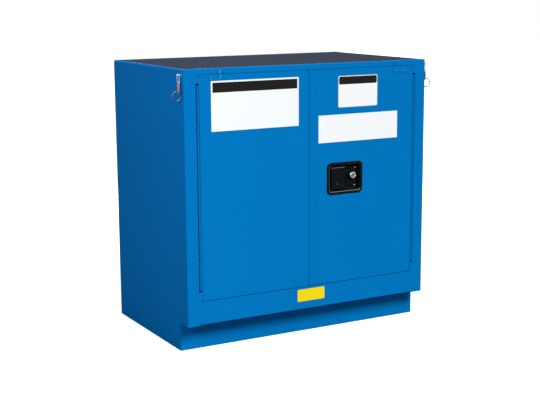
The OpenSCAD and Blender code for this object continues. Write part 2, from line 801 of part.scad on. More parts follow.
// Folded plate on a vertical pin at its left, with a tail that reaches through the tray to the hub
module paddle() {
    tail_len = (hub_y + hub_t / 2 - pin_y) / cos(paddle_pull) + 0.5;
    color(BLACK) from_front() difference() {
        union() {
            difference() {
                front_plate(paddle_x0, paddle_x1, paddle_z0, paddle_z1, paddle_y0, paddle_y0 + paddle_edge, 3);
                front_plate(paddle_x0 - 4, paddle_x1 - paddle_t, paddle_z0 + paddle_t, paddle_z1 - paddle_t,
                    paddle_y0 + paddle_t, paddle_y0 + paddle_edge + 1, 1.5);
            }
            block([pin_x - tail_w / 2, pin_y - 3, tray_z - 2], [pin_x + tail_w / 2, pin_y + tail_len, tray_z + 2]);
            translate([pin_x, pin_y, tray_z - 6]) cylinder(h = 12, r = 4);
            block([pin_x - 4, paddle_y0, tray_z - 6], [pin_x + 4, pin_y, tray_z + 6]);
        }
        translate([pin_x, pin_y, paddle_z0 - 1]) cylinder(h = paddle_h + 2, r = paddle_bore);
    }
}

// Pin of the paddle, held in the top and bottom walls of the tray
module paddle_pin() {
    color(STEEL) from_front() translate([pin_x, pin_y, tray_z - tray_in_h / 2 - 1])
        cylinder(h = tray_in_h + 2, r = paddle_pin_r);
}

spring_coil_r = 2.8;
spring_coil_wire = 0.4;
spring_coil_pitch = 1.6;
spring_coil_turns = 6.5;

// Return spring wound round the paddle pin over the boss
module paddle_spring() {
    path = coil_path(spring_coil_r, spring_coil_pitch, spring_coil_turns, 2 * spring_coil_wire);
    echo(paddle_spring_gap = coil_gap(path, spring_coil_wire));
    color(STEEL) from_front() translate([pin_x, pin_y, tray_z + 8]) tube(path, spring_coil_wire);
}

// Axle of the hub, standing on the back of the tray
module hub_axle() {
    color(STEEL) from_front() {
        shaft_y(hub_x, tray_d, hub_y, hub_z, 6);
        shaft_y(hub_x, hub_y, hub_y + hub_t + 0.6, hub_z, 4);
        shaft_y(hub_x, hub_y + hub_t + 0.6, hub_y + hub_t + 1.2, hub_z, 5);
    }
}

// Plate that turns on the axle: a fork for the paddle's tail and a pin for each rod
module latch_hub() {
    fork_w = 9;
    fork_low = tray_z - 5;
    color(ZINC) from_front() {
        difference() {
            union() {
                shaft_y(hub_x, hub_y, hub_y + hub_t, hub_z, 9);
                block([hub_x - hub_r, hub_y, hub_z - 5], [hub_x + hub_r, hub_y + hub_t, hub_z + 5]);
                for (x = [rod_upper_x, rod_lower_x]) shaft_y(x, hub_y, hub_y + hub_t, hub_z, 5);
                block([hub_x - fork_w / 2 - 3, hub_y, fork_low], [hub_x + fork_w / 2 + 3, hub_y + hub_t, hub_z]);
            }
            shaft_y(hub_x, hub_y - 1, hub_y + hub_t + 1, hub_z, 4 + run_gap);
            block([hub_x - fork_w / 2, hub_y - 1, fork_low - 1], [hub_x + fork_w / 2, hub_y + hub_t + 1, tray_z + 6]);
        }
        for (x = [rod_upper_x, rod_lower_x]) shaft_y(x, hub_y + hub_t, rod_y + rod_t + 0.5, hub_z, hub_pin_r);
    }
}

// Flat lock rod with a cross slot for its hub pin and a round nose; up is 1 or -1
module lock_rod(x, end_z, up) {
    tail_z = hub_z - up * 9;
    step_z = end_z - up * 22;
    z0 = min(tail_z, step_z);
    z1 = max(tail_z, step_z);
    slot_h = 2 * (hub_pin_r + slide_gap);
    travel = hub_r * (1 - cos(paddle_pull));
    slot_w = 2 * hub_pin_r + 2 * travel + 2 * slide_gap;
    color(STEEL) from_front() difference() {
        union() {
            block([x - rod_w / 2, rod_y, z0], [x + rod_w / 2, rod_y + rod_t, z1]);
            translate([x, rod_y + rod_t / 2, min(step_z - up * 8, end_z - up * 3)])
                cylinder(h = abs(end_z - up * 3 - step_z + up * 8), r = nose_r);
            translate([x, rod_y + rod_t / 2, min(end_z - up * 3, end_z)])
                cylinder(h = 3, r1 = up > 0 ? nose_r : nose_r - 2, r2 = up > 0 ? nose_r - 2 : nose_r);
        }
        block([x - slot_w / 2, rod_y - 1, hub_z - slot_h / 2], [x + slot_w / 2, rod_y + rod_t + 1, hub_z + slot_h / 2]);
    }
}

module rod_upper() {
    lock_rod(rod_upper_x, nose_top, 1);
}

module rod_lower() {
    lock_rod(rod_lower_x, nose_bottom, -1);
}

// Straps that keep the rods against the pan, two for each rod
module rod_guides() {
    gap = 0.8;
    end_in = 60;
    hub_off = 100;
    places = [[rod_upper_x, pan_top - end_in], [rod_upper_x, hub_z + hub_off],
        [rod_lower_x, pan_bottom + end_in], [rod_lower_x, hub_z - hub_off]];
    back = door_t - sheet_t;
    color(ZINC) from_front() for (p = places) translate([p[0], 0, p[1] - 8]) linear_extrude(16) folded([
        [-rod_w / 2 - 14, back - 1], [-rod_w / 2 - gap - 1, back - 1], [-rod_w / 2 - gap - 1, rod_y - gap - 1],
        [rod_w / 2 + gap + 1, rod_y - gap - 1], [rod_w / 2 + gap + 1, back - 1],
        [rod_w / 2 + 14, back - 1]], t = 2, r = 1.2);
}

// Raised plate in the tray that carries the lock, with a boss round the cylinder
module lock_housing() {
    color(BLACK) from_front() difference() {
        union() {
            front_plate(lock_x - 23, lock_x + 22, tray_z - 34, tray_z + 34, tray_d - tray_t - 3, tray_d - tray_t, 3);
            front_plate(lock_x - 21, lock_x + 14, lock_z - 34, lock_z + 15, housing_y, tray_d - tray_t - 3, 4);
            shaft_y(lock_x, 5, housing_y, lock_z, lock_r + 3.5);
        }
        shaft_y(lock_x, 0, tray_d, lock_z, lock_r + pan_fit);
    }
}

module lock_cylinder() {
    color(STEEL) from_front() difference() {
        union() {
            shaft_y(lock_x, lock_face_y, cam_y - 0.5, lock_z, lock_r);
            shaft_y(lock_x, lock_face_y - 1, lock_face_y, lock_z, lock_r - 1);
        }
        shaft_y(lock_x, lock_face_y - 2, cam_y, lock_z, plug_r + run_gap);
    }
}

// Key plug with its keyway and the square tail that carries the cam
module lock_plug() {
    color(STEEL) from_front() difference() {
        union() {
            shaft_y(lock_x, lock_face_y - 0.6, cam_y - 0.5, lock_z, plug_r);
            block([lock_x - 3, cam_y - 1, lock_z - 3], [lock_x + 3, cam_y + cam_t + 1, lock_z + 3]);
        }
        block([lock_x - 0.8, lock_face_y - 1, lock_z - 4.5], [lock_x + 0.8, lock_face_y + 8, lock_z + 4.5]);
    }
}

// Cam that swings from down to the left, towards the hub, when the key is turned
module lock_cam() {
    reach = 34;
    color(ZINC) from_front() difference() {
        union() {
            shaft_y(lock_x, cam_y, cam_y + cam_t, lock_z, 8);
            block([lock_x - 6, cam_y, lock_z - reach], [lock_x + 6, cam_y + cam_t, lock_z]);
        }
        block([lock_x - 3.05, cam_y - 1, lock_z - 3.05], [lock_x + 3.05, cam_y + cam_t + 1, lock_z + 3.05]);
    }
}

// Drilled plates behind the head and the sill that take the noses of the rods
module rod_strikes() {
    places = [[rod_upper_x, head_z + sheet_t], [rod_lower_x, sill_z - sheet_t - strike_t]];
    y = rod_y + rod_t / 2;
    color(ZINC) from_front() for (p = places) difference() {
        block([p[0] - strike_w / 2, y - strike_d / 2, p[1]], [p[0] + strike_w / 2, y + strike_d / 2, p[1] + strike_t]);
        translate([p[0], y, p[1] - 1]) cylinder(h = strike_t + 2, r = nose_r + 1);
    }
}

// ---------- self closers ----------

// Angle on the back of the front rail, with the post that the arm turns on
module closer_brackets() {
    t = 3;
    foot_z = head_z + sheet_t + rail_bend;
    color(ZINC) from_front() both_sides() {
        block([post_x - 14, sheet_t, foot_z], [post_x + 14, sheet_t + t, body_h - 2 * sheet_t - bend_r]);
        block([post_x - 14, sheet_t, foot_z], [post_x + 14, post_y + 10, foot_z + t]);
        translate([post_x, post_y, arm_z - plate_gap / 2]) cylinder(h = foot_z + 1 - arm_z, r = post_r);
        translate([post_x, post_y, arm_z - 2.2]) cylinder(h = 2.2 - plate_gap / 2, r = post_r + 2);
    }
}

module closer_arm(side) {
    color(STEEL) from_front() on_side(side) {
        translate([0, 0, arm_z]) linear_extrude(arm_t) difference() {
            bar([post_x, post_y], [knee_x, knee_y], arm_w);
            translate([post_x, post_y]) circle(post_r + run_gap);
        }
        translate([knee_x, knee_y, link_z - 1.6]) cylinder(h = arm_z - link_z + 2, r = post_r);
        translate([knee_x, knee_y, link_z - 2.2]) cylinder(h = 1.8, r = post_r + 2);
    }
}

module closer_link(side) {
    color(STEEL) from_front() on_side(side) translate([0, 0, link_z]) linear_extrude(arm_t) difference() {
        bar([knee_x, knee_y], [stud_x, stud_y], arm_w - 2);
        translate([knee_x, knee_y]) circle(post_r + run_gap);
        translate([stud_x, stud_y]) circle(stud_r + stud_gap);
    }
}

// Angle riveted behind the top of a door skin, with the stud that the link turns on
module closer_lug(side) {
    color(ZINC) from_front() on_side(side) {
        block([stud_x - 20, sheet_t, tab_z], [stud_x + 20, sheet_t + 2, door_top - 4]);
        block([stud_x - 8, sheet_t, tab_z], [stud_x + 8, stud_y + 6, tab_z + arm_t]);
        translate([stud_x, stud_y, tab_z]) cylinder(h = link_z + arm_t + plate_gap / 2 - tab_z, r = stud_r);
    }
}

spring_low = arm_z + arm_t + plate_gap;
spring_r = post_r + 2.4 + spring_wire;
spring_pitch = (head_z - plate_gap - spring_low - 2 * spring_wire) / spring_turns;

// Torsion springs round the posts that pull the doors shut
module closer_springs() {
    path = coil_path(spring_r, spring_pitch, spring_turns, 2 * spring_wire);
    echo(closer_spring_gap = coil_gap(path, spring_wire));
    color(STEEL) from_front() both_sides()
        translate([post_x, post_y, spring_low + spring_wire]) tube(path, spring_wire);
}

// ---------- chains ----------

module chain_eyes() {
    ring_x = chain_x - eye_ring;
    color(ZINC) from_front() both_sides() {
        translate([ring_x, chain_y, eye_z]) rotate_extrude() translate([eye_ring, 0]) circle(eye_wire);
        translate([half_w, chain_y, eye_z]) rotate([0, 90, 0]) cylinder(h = ring_x - eye_ring - half_w, r = 1.6);
        translate([half_w, chain_y, eye_z]) rotate([0, 90, 0]) cylinder(h = 1, r = 4);
    }
}

// Welded oval link in a plane square to the side panel
module chain_link(side) {
    color(STEEL) from_front() on_side(side) translate([chain_x, chain_y, 0]) {
        for (end = [[loop_top - loop_r, 0], [bar_z + loop_r, 180]])
            translate([0, 0, end[0]]) rotate([90, end[1], 0]) rotate_extrude(angle = 180)
                translate([loop_r, 0]) circle(wire_r);
        for (x = [-loop_r, loop_r]) translate([x, 0, bar_z + loop_r]) cylinder(h = link_len, r = wire_r);
    }
}

// Two soldered strips that part in a fire, drawn as one drilled plate with a step
module fusible_link(side) {
    w = 9;
    color(BRASS) from_front() on_side(side) translate([chain_x - fuse_t / 2, chain_y, 0]) rotate([90, 0, 90]) {
        difference() {
            linear_extrude(fuse_t) translate([0, (fuse_top + fuse_bottom) / 2])
                rounded(w, fuse_len + w, w / 2 - 0.5);
            for (z = [fuse_top, fuse_bottom]) translate([0, z, -1]) cylinder(h = fuse_t + 2, r = hole_r);
        }
        translate([0, (fuse_top + fuse_bottom) / 2, fuse_t]) linear_extrude(0.8) rounded(w - 1, fuse_len / 2, 1);
    }
}

// End ring, which leans on the side panel and so hangs from a point beside its top
module chain_ring(side) {
    color(STEEL) from_front() on_side(side)
        translate([chain_x + ring_arc * sin(ring_lean), chain_y, ring_top - ring_arc * cos(ring_lean)])
        rotate([90, 0, 0]) rotate_extrude() translate([ring_arc, 0]) circle(ring_wire);
}

// ---------- nodes ----------

side_panel(-1);  // side_panel_left
side_panel(1);  // side_panel_right
back_panel();
top_panel();
top_rail();
sill_rail();
toe_kick();
bottom_pan();
liner_side(-1);  // liner_left
liner_side(1);  // liner_right
liner_back();
liner_top();
sump_tray();
shelf();
shelf_standards();
shelf_clips();
vent_sleeves();
vent_screens();
vent_bungs();
grounding_stud();
rod_strikes();
hinge_frame_leaf(-1);  // hinge_frame_leaf_left
hinge_frame_leaf(1);  // hinge_frame_leaf_right
hinge_pin(-1);  // hinge_pin_left
hinge_pin(1);  // hinge_pin_right
door_skin_left();
door_pan_left();
hinge_door_leaf(-1);  // hinge_door_leaf_left
door_skin_right();
door_pan_right();
hinge_door_leaf(1);  // hinge_door_leaf_right
latch_tray();
paddle_pin();
paddle_spring();
hub_axle();
rod_guides();
lock_housing();
lock_cylinder();
paddle();
latch_hub();
rod_upper();
rod_lower();
lock_plug();
lock_cam();
closer_brackets();
closer_springs();
closer_lug(-1);  // closer_lug_left
closer_lug(1);  // closer_lug_right
closer_arm(-1);  // closer_arm_left
closer_arm(1);  // closer_arm_right
closer_link(-1);  // closer_link_left
closer_link(1);  // closer_link_right
chain_eyes();
chain_link(-1);  // chain_link_left
chain_link(1);  // chain_link_right
fusible_link(-1);  // fusible_link_left
fusible_link(1);  // fusible_link_right
chain_ring(-1);  // chain_ring_left
chain_ring(1);  // chain_ring_right
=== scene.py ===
"""Under-counter safety cabinet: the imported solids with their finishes, and the pieces formed over them."""

import json
import logging
import math
from dataclasses import dataclass
from enum import Enum
from typing import Any, Callable, Iterable, Sequence

import bmesh
import bpy
from bmesh.types import BMEdge, BMesh, BMFace, BMVert
from mathutils import Euler, Matrix, Vector


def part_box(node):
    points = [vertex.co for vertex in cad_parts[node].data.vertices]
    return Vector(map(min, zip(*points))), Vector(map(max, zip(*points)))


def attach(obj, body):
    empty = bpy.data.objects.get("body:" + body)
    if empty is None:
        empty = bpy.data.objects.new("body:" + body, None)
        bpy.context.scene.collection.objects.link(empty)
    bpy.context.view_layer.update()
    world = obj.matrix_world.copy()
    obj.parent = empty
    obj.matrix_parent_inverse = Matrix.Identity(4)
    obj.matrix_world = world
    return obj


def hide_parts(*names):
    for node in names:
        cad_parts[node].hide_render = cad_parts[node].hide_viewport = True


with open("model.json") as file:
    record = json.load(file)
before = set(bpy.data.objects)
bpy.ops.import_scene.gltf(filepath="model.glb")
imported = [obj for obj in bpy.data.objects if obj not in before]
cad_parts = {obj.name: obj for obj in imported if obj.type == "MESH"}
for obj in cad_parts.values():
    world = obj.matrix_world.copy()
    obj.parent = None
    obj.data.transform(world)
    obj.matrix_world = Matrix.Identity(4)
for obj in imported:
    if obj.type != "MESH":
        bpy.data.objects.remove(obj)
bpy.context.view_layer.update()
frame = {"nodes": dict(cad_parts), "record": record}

log = logging.getLogger("cabinet")

Triple = tuple[float, float, float]
Colour = Triple

MM = 0.001
FRONT_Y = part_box("top_rail")[0].y
QUARTER = math.radians(90)
# An edge that turns by more than this is shaded as a sharp one.
SHARP = math.radians(35)
# Metres within which vertices are one, and within which an edge lies in a plane.
WELD = 1e-7
LEVEL = 1e-6
# Front and back, in millimetres, of a seam that lies on the front.
ON_SKIN = (-0.04, 0.1)
# Axes by number, and the ways that the front and the top look.
Y, Z = 1, 2
FORWARD = Vector((0.0, -1.0, 0.0))
UPWARD = Vector((0.0, 0.0, 1.0))


def at(x: float, y: float, z: float) -> Vector:
    """A point in metres, from millimetres right of the middle, behind the carcass front and off the floor."""
    return Vector((x * MM, FRONT_Y + y * MM, z * MM))


class Side(Enum):
    """The two sides of the cabinet, seen from the front."""

    LEFT = -1
    RIGHT = 1

    @property
    def word(self) -> str:
        """The side's name as the solids spell it."""
        return self.name.lower()

    def reach(self, near: float, far: float) -> tuple[float, float]:
        """The lower and the higher X of a stretch on this side, from near the middle to far from it."""
        return (near, far) if self is Side.RIGHT else (-far, -near)


# ---------- shader bench


class Signal:
    """A socket that takes part in arithmetic; every operator adds the Math node it stands for."""

    def __init__(self, bench: "Bench", socket: bpy.types.NodeSocket) -> None:
        """Keeps the socket and the bench it sits on."""
        self.bench = bench
        self.socket = socket

    def _math(self, operation: str, first: Any, second: Any) -> "Signal":
        """The result of a Math node on two values or signals."""
        return self.bench.add("ShaderNodeMath", {"operation": operation}, {0: first, 1: second})

    def __add__(self, other: Any) -> "Signal":
        """The sum."""
        return self._math("ADD", self, other)

    __radd__ = __add__

    def __sub__(self, other: Any) -> "Signal":
        """The difference."""
        return self._math("SUBTRACT", self, other)

    def __rsub__(self, other: Any) -> "Signal":
        """The difference, with this signal taken away."""
        return self._math("SUBTRACT", other, self)

    def __mul__(self, other: Any) -> "Signal":
        """The product."""
        return self._math("MULTIPLY", self, other)

    __rmul__ = __mul__

    def span(self, low: float, high: float, to_low: float = 0.0, to_high: float = 1.0) -> "Signal":
        """Maps a stretch of the signal to another, smoothly and clamped.

        Args:
            low: Start of the stretch.
            high: End of the stretch.
            to_low: What the start becomes.
            to_high: What the end becomes.

        Returns:
            The mapped signal.
        """
        return self.bench.add(
            "ShaderNodeMapRange",
            {"interpolation_type": "SMOOTHSTEP"},
            {"Value": self, "From Min": low, "From Max": high, "To Min": to_low, "To Max": to_high},
        )


class Bench:
    """Where the nodes of one material or world are put together."""

    def __init__(self, owner: bpy.types.Material | bpy.types.World, shader: str = "Principled BSDF") -> None:
        """Takes up a new material or world.

        Args:
            owner: The material or world.
            shader: Name of the shader node that it starts with.
        """
        owner.use_nodes = True
        self.owner = owner
        self.tree = owner.node_tree
        self.shader = self.tree.nodes[shader]

    def add(self, kind: str, settings: dict[str, Any], sockets: dict[Any, Any], out: Any = 0) -> Signal:
        """Adds a node.

        Args:
            kind: The node's type.
            settings: Properties that are set first.
            sockets: Values or signals for its inputs, by name or number.
            out: The output wanted, by name or number.

        Returns:
            That output as a signal.
        """
        node = self.tree.nodes.new(kind)
        for key, value in settings.items():
            setattr(node, key, value)
        for key, value in sockets.items():
            self.plug(node.inputs[key], value)
        return Signal(self, node.outputs[out])

    def plug(self, socket: bpy.types.NodeSocket, value: Any) -> None:
        """Links a signal to a socket or sets the socket's own value.

        Args:
            socket: The socket.
            value: The signal or the value.
        """
        if isinstance(value, Signal):
            self.tree.links.new(value.socket, socket)
        else:
            socket.default_value = value

    def set(self, **values: Any) -> None:
        """Sets or links inputs of the shader, with underscores for the spaces of their names."""
        for key, value in values.items():
            self.plug(self.shader.inputs[key.replace("_", " ")], value)

    def place(self) -> Signal:
        """Object coordinates."""
        return self.add("ShaderNodeTexCoord", {}, {}, "Object")

    def stretched(self, scale: Triple) -> Signal:
        """Object coordinates, with a factor on each axis."""
        return self.add("ShaderNodeMapping", {}, {"Vector": self.place(), "Scale": scale})

    def noise(self, where: Signal, scale: float, detail: float, rough: float = 0.5) -> Signal:
        """Fractal noise between 0 and 1, by features per metre, octaves and the finer octaves' share."""
        inputs = {"Vector": where, "Scale": scale, "Detail": detail, "Roughness": rough}
        return self.add("ShaderNodeTexNoise", {}, inputs, "Fac")

    def blend(self, factor: Any, first: Any, second: Any) -> Signal:
        """Mixes two colours; the factor is the share of the second."""
        settings = {"data_type": "RGBA", "blend_type": "MIX"}
        return self.add("ShaderNodeMix", settings, {0: factor, 6: first, 7: second}, 2)

    def bump(self, height: Signal, depth_mm: float, strength: float) -> Signal:
        """Turns a height into a bent normal; depth_mm is what a height of 1 stands for."""
        inputs = {"Strength": strength, "Distance": depth_mm * MM, "Height": height}
        return self.add("ShaderNodeBump", {}, inputs, "Normal")


def rgba(colour: Colour, lift: float = 1.0) -> tuple[float, float, float, float]:
    """A linear colour with full alpha, lightened or darkened by a factor."""
    return (colour[0] * lift, colour[1] * lift, colour[2] * lift, 1.0)


@dataclass(frozen=True)
class PowderCoat:
    """Baked powder paint: orange peel, a faint mottle and a soft sheen."""

    name: str
    colour: Colour
    roughness: float = 0.5
    peel_mm: float = 0.03
    mottle: float = 0.04
    sheen: float = 0.03

    def build(self) -> bpy.types.Material:
        """Makes the material.

        Returns:
            The material.
        """
        bench = Bench(bpy.data.materials.new(self.name))
        spot = bench.place()
        cloud = bench.noise(spot, 5.0, 3.0)
        peel = bench.noise(spot, 650.0, 2.0) + bench.noise(spot, 160.0, 1.0) * 0.6
        handled = bench.noise(spot, 22.0, 4.0, 0.6)
        bench.set(
            Specular_IOR_Level=self.sheen,
            Base_Color=bench.blend(
                cloud, rgba(self.colour, 1 - self.mottle), rgba(self.colour, 1 + self.mottle)
            ),
            Roughness=self.roughness + (handled - 0.5) * 0.1,
            Normal=bench.bump(peel, self.peel_mm, 0.35),
        )
        return bench.owner


@dataclass(frozen=True)
class ZincPlate:
    """Zinc plate on steel: cloudy grey with a fine grain."""

    name: str
    colour: Colour = (0.50, 0.51, 0.52)
    cooler: Colour = (0.50, 0.5202, 0.5512)

    def build(self) -> bpy.types.Material:
        """Makes the material.

        Returns:
            The material.
        """
        bench = Bench(bpy.data.materials.new(self.name))
        spot = bench.place()
        cloud = bench.noise(spot, 120.0, 4.0, 0.6)
        grain = bench.noise(spot, 1800.0, 2.0)
        bench.set(
            Base_Color=bench.blend(cloud, rgba(self.colour, 0.86), rgba(self.cooler)),
            Metallic=1.0,
            Roughness=cloud.span(0.3, 0.7, 0.3, 0.46),
            Normal=bench.bump(grain, 0.02, 0.3),
        )
        return bench.owner


@dataclass(frozen=True)
class DrawnSteel:
    """Bright steel with drawing lines along its length."""

    name: str
    colour: Colour = (0.74, 0.74, 0.75)
    stretch: Triple = (1.0, 1.0, 0.04)

    def build(self) -> bpy.types.Material:
        """Makes the material.

        Returns:
            The material.
        """
        bench = Bench(bpy.data.materials.new(self.name))
        lines = bench.noise(bench.stretched(self.stretch), 2600.0, 3.0, 0.6)
        haze = bench.noise(bench.place(), 60.0, 3.0)
        bench.set(
            Base_Color=bench.blend(haze, rgba(self.colour, 0.9), rgba(self.colour, 1.05)),
            Metallic=1.0,
            Roughness=lines.span(0.25, 0.75, 0.2, 0.38),
            Normal=bench.bump(lines, 0.01, 0.35),
        )
        return bench.owner


@dataclass(frozen=True)
class DarkCoat:
    """Black moulded or coated metal with a fine leathery texture."""

    name: str
    colour: Colour = (0.0045, 0.006, 0.0075)
    roughness: float = 0.34
    sheen: float = 0.08

    def build(self) -> bpy.types.Material:
        """Makes the material.

        Returns:
            The material.
        """
        bench = Bench(bpy.data.materials.new(self.name))
        spot = bench.place()
        pebble = bench.noise(spot, 1500.0, 2.0)
        rub = bench.noise(spot, 70.0, 4.0, 0.65)
        bench.set(
            Specular_IOR_Level=self.sheen,
            Base_Color=bench.blend(rub.span(0.55, 0.8), rgba(self.colour), rgba(self.colour, 1.9)),
            Roughness=self.roughness + (rub - 0.5) * 0.16,
            Normal=bench.bump(pebble, 0.04, 0.4),
        )
        return bench.owner


@dataclass(frozen=True)
class Chrome:
    """Polished plate with hairline scratches."""

    name: str
    colour: Colour = (0.93, 0.93, 0.94)

    def build(self) -> bpy.types.Material:
        """Makes the material.

        Returns:
            The material.
        """
        bench = Bench(bpy.data.materials.new(self.name))
        scratch = bench.noise(bench.stretched((1.0, 1.0, 0.1)), 2400.0, 2.0)
        smear = bench.noise(bench.place(), 150.0, 3.0)
        bench.set(
            Base_Color=bench.blend(smear, rgba(self.colour, 0.94), rgba(self.colour)),
            Metallic=1.0,
            Roughness=smear.span(0.3, 0.8, 0.1, 0.22),
            Normal=bench.bump(scratch, 0.004, 0.3),
        )
        return bench.owner


@dataclass(frozen=True)
class Brass:
    """Dull coppery metal, darker where it has tarnished."""

    name: str
    colour: Colour = (0.86, 0.50, 0.27)
    tarnished: Colour = (0.52, 0.27, 0.13)

    def build(self) -> bpy.types.Material:
        """Makes the material.

        Returns:
            The material.
        """
        bench = Bench(bpy.data.materials.new(self.name))
        spot = bench.place()
        tarnish = bench.noise(spot, 240.0, 5.0, 0.65)
        bench.set(
            Base_Color=bench.blend(tarnish.span(0.35, 0.75), rgba(self.colour), rgba(self.tarnished)),
            Metallic=1.0,
            Roughness=tarnish.span(0.3, 0.75, 0.28, 0.5),
            Normal=bench.bump(tarnish, 0.03, 0.3),
        )
        return bench.owner


@dataclass(frozen=True)
class Vinyl:
    """Printed film: one colour, a faint grain and a soft gloss."""

    name: str
    colour: Colour
    roughness: float = 0.4
    sheen: float = 0.3

    def build(self) -> bpy.types.Material:
        """Makes the material.

        Returns:
            The material.
        """
        bench = Bench(bpy.data.materials.new(self.name))
        spot = bench.place()
        cloud = bench.noise(spot, 14.0, 3.0)
        grain = bench.noise(spot, 900.0, 2.0)
        bench.set(
            Specular_IOR_Level=self.sheen,
            Base_Color=bench.blend(cloud, rgba(self.colour, 0.97), rgba(self.colour)),
            Roughness=self.roughness + (cloud - 0.5) * 0.08,
            Normal=bench.bump(grain, 0.008, 0.3),
        )
        return bench.owner


class Finish(Enum):
    """Every finish of the cabinet."""

    BLUE = PowderCoat("blue_powder_coat", (0.0005, 0.182, 0.508), sheen=0.01)
    # Gloss paint in a lighter blue: the gloss is real, and the lighter colour is a painted highlight.
    GLOSS_HIGHLIGHT_BLUE = PowderCoat("blue_gloss_painted_highlight", (0.006, 0.215, 0.56), 0.3, 0.01, 0.04, 0.5)
    # A shaded copy of the blue: painted shade in slits, gaps and creases, and the dark line of the rail
    # joints.
    SHADED_BLUE = PowderCoat("shaded_blue_paint", (0.0004, 0.105, 0.33), sheen=0.0)
    SLATE = PowderCoat("slate_powder_coat", (0.062, 0.070, 0.100), 0.6, 0.03, 0.06, 0.0)
    ZINC = ZincPlate("zinc_plate")
    STEEL = DrawnSteel("drawn_steel")
    # Steel darkened for the chain rings: painted shade that stands for the darker surroundings that they
    # mirror.
    RING = DrawnSteel("ring_steel", (0.17, 0.16, 0.14))
    # A darker steel for the hinge and paddle pins.
    DARK_STEEL = DrawnSteel("dark_pin_steel", (0.09, 0.09, 0.095))
    BLACK = DarkCoat("black_latch_coat")
    # A lighter black: a painted highlight on the folds and faces of the latch that look towards the light.
    RUBBED = DarkCoat("painted_highlight_black_edge", (0.12, 0.125, 0.13), 0.3, 0.4)
    CHROME = Chrome("lock_chrome")
    BRASS = Brass("dull_brass")
    WHITE_FILM = Vinyl("white_film", (0.98, 0.98, 0.98), 0.45, 0.1)
    BLACK_FILM = Vinyl("black_film", (0.013, 0.011, 0.010), 0.45, 0.1)
    YELLOW_FILM = Vinyl("yellow_film", (0.99, 0.74, 0.006), 0.45, 0.1)
    TAN_FILM = Vinyl("tan_film", (0.50, 0.38, 0.24))
    SHADOW = DarkCoat("slit_shadow", (0.003, 0.003, 0.003), 0.8, 0.05)

    @property
    def material(self) -> bpy.types.Material:
        """The finish's material, made at its first use."""
        return bpy.data.materials.get(self.value.name) or self.value.build()


SLOT_FINISH = {
    "blue_coat": Finish.BLUE,
    "top_coat": Finish.SLATE,
    "zinc_plate": Finish.ZINC,
    "bright_steel": Finish.STEEL,
    "black_latch": Finish.BLACK,
    "lock_chrome": Finish.CHROME,
    "brass": Finish.BRASS,
}


# ---------- shop tools


def bevel(
    bm: BMesh, geom: Iterable[Any], width_mm: float, segments: int, corners: bool = False
) -> list[BMFace]:
    """Rounds edges or corners.

    Args:
        bm: The mesh.
        geom: Edges, or vertices when corners is true.
        width_mm: Width of the round.
        segments: Steps of the round.
        corners: True to round the corners of a flat face.

    Returns:
        The faces of the round.
    """
    made = bmesh.ops.bevel(
        bm,
        geom=list(geom),
        offset=width_mm * MM,
        offset_type="OFFSET",
        segments=segments,
        profile=0.5,
        affect="VERTICES" if corners else "EDGES",
        clamp_overlap=True,
        material=-1,
    )
    return made["faces"]


def shift(bm: BMesh, way: Vector) -> BMesh:
    """Moves a mesh and hands it back."""
    bmesh.ops.translate(bm, vec=way, verts=bm.verts)
    return bm


def stand_up(bm: BMesh) -> BMesh:
    """Turns a mesh round X so that what looked up looks to the front, and hands it back."""
    bmesh.ops.rotate(bm, matrix=Matrix.Rotation(QUARTER, 3, "X"), verts=bm.verts)
    return bm


def close(bm: BMesh) -> BMesh:
    """Turns the faces of a mesh one way, outwards where it is closed, and hands it back."""
    bmesh.ops.recalc_face_normals(bm, faces=bm.faces)
    return bm


def face_out(bm: BMesh, way: Vector, front: Sequence[BMFace] | None = None) -> None:
    """Turns the faces of an open shell outwards.

    Args:
        bm: The mesh.
        way: Where its front looks.
        front: The faces that look there, where they aren't the greater part.
    """
    close(bm).normal_update()
    if sum(f.normal.dot(way) * f.calc_area() for f in front or bm.faces) < 0:
        bmesh.ops.reverse_faces(bm, faces=bm.faces)


def blank(width: float, depth: float) -> BMesh:
    """A flat face that looks up, centred on the origin.

    Args:
        width: Metres along X.
        depth: Metres along Y.

    Returns:
        The mesh.
    """
    bm = bmesh.new()
    bmesh.ops.create_grid(bm, x_segments=1, y_segments=1, size=0.5)
    bmesh.ops.scale(bm, vec=(width, depth, 1.0), verts=bm.verts)
    return bm


def sheet_face(width: float, height: float, corner: float, segments: int = 6) -> BMesh:
    """A flat upright face that looks to the front, centred on the origin.

    Args:
        width: Millimetres along X.
        height: Millimetres along Z.
        corner: Corner radius.
        segments: Steps of a corner.

    Returns:
        The mesh.
    """
    bm = blank(width * MM, height * MM)
    bevel(bm, bm.verts, corner, segments, corners=True)
    return stand_up(bm)


def extrude_rim(bm: BMesh, edges: Iterable[BMEdge], way: Vector) -> None:
    """Draws edges out into walls; way is how far their copies move."""
    made = bmesh.ops.extrude_edge_only(bm, edges=list(edges))["geom"]
    bmesh.ops.translate(bm, vec=way, verts=[v for v in made if isinstance(v, BMVert)])


def open_edges(bm: BMesh) -> list[BMEdge]:
    """The edges that border one face only."""
    return [e for e in bm.edges if len(e.link_faces) == 1]


def edges_at(bm: BMesh, axis: int, level: float) -> list[BMEdge]:
    """The edges that lie in the plane across an axis, at a level in metres."""
    return [e for e in bm.edges if all(abs(v.co[axis] - level) < LEVEL for v in e.verts)]


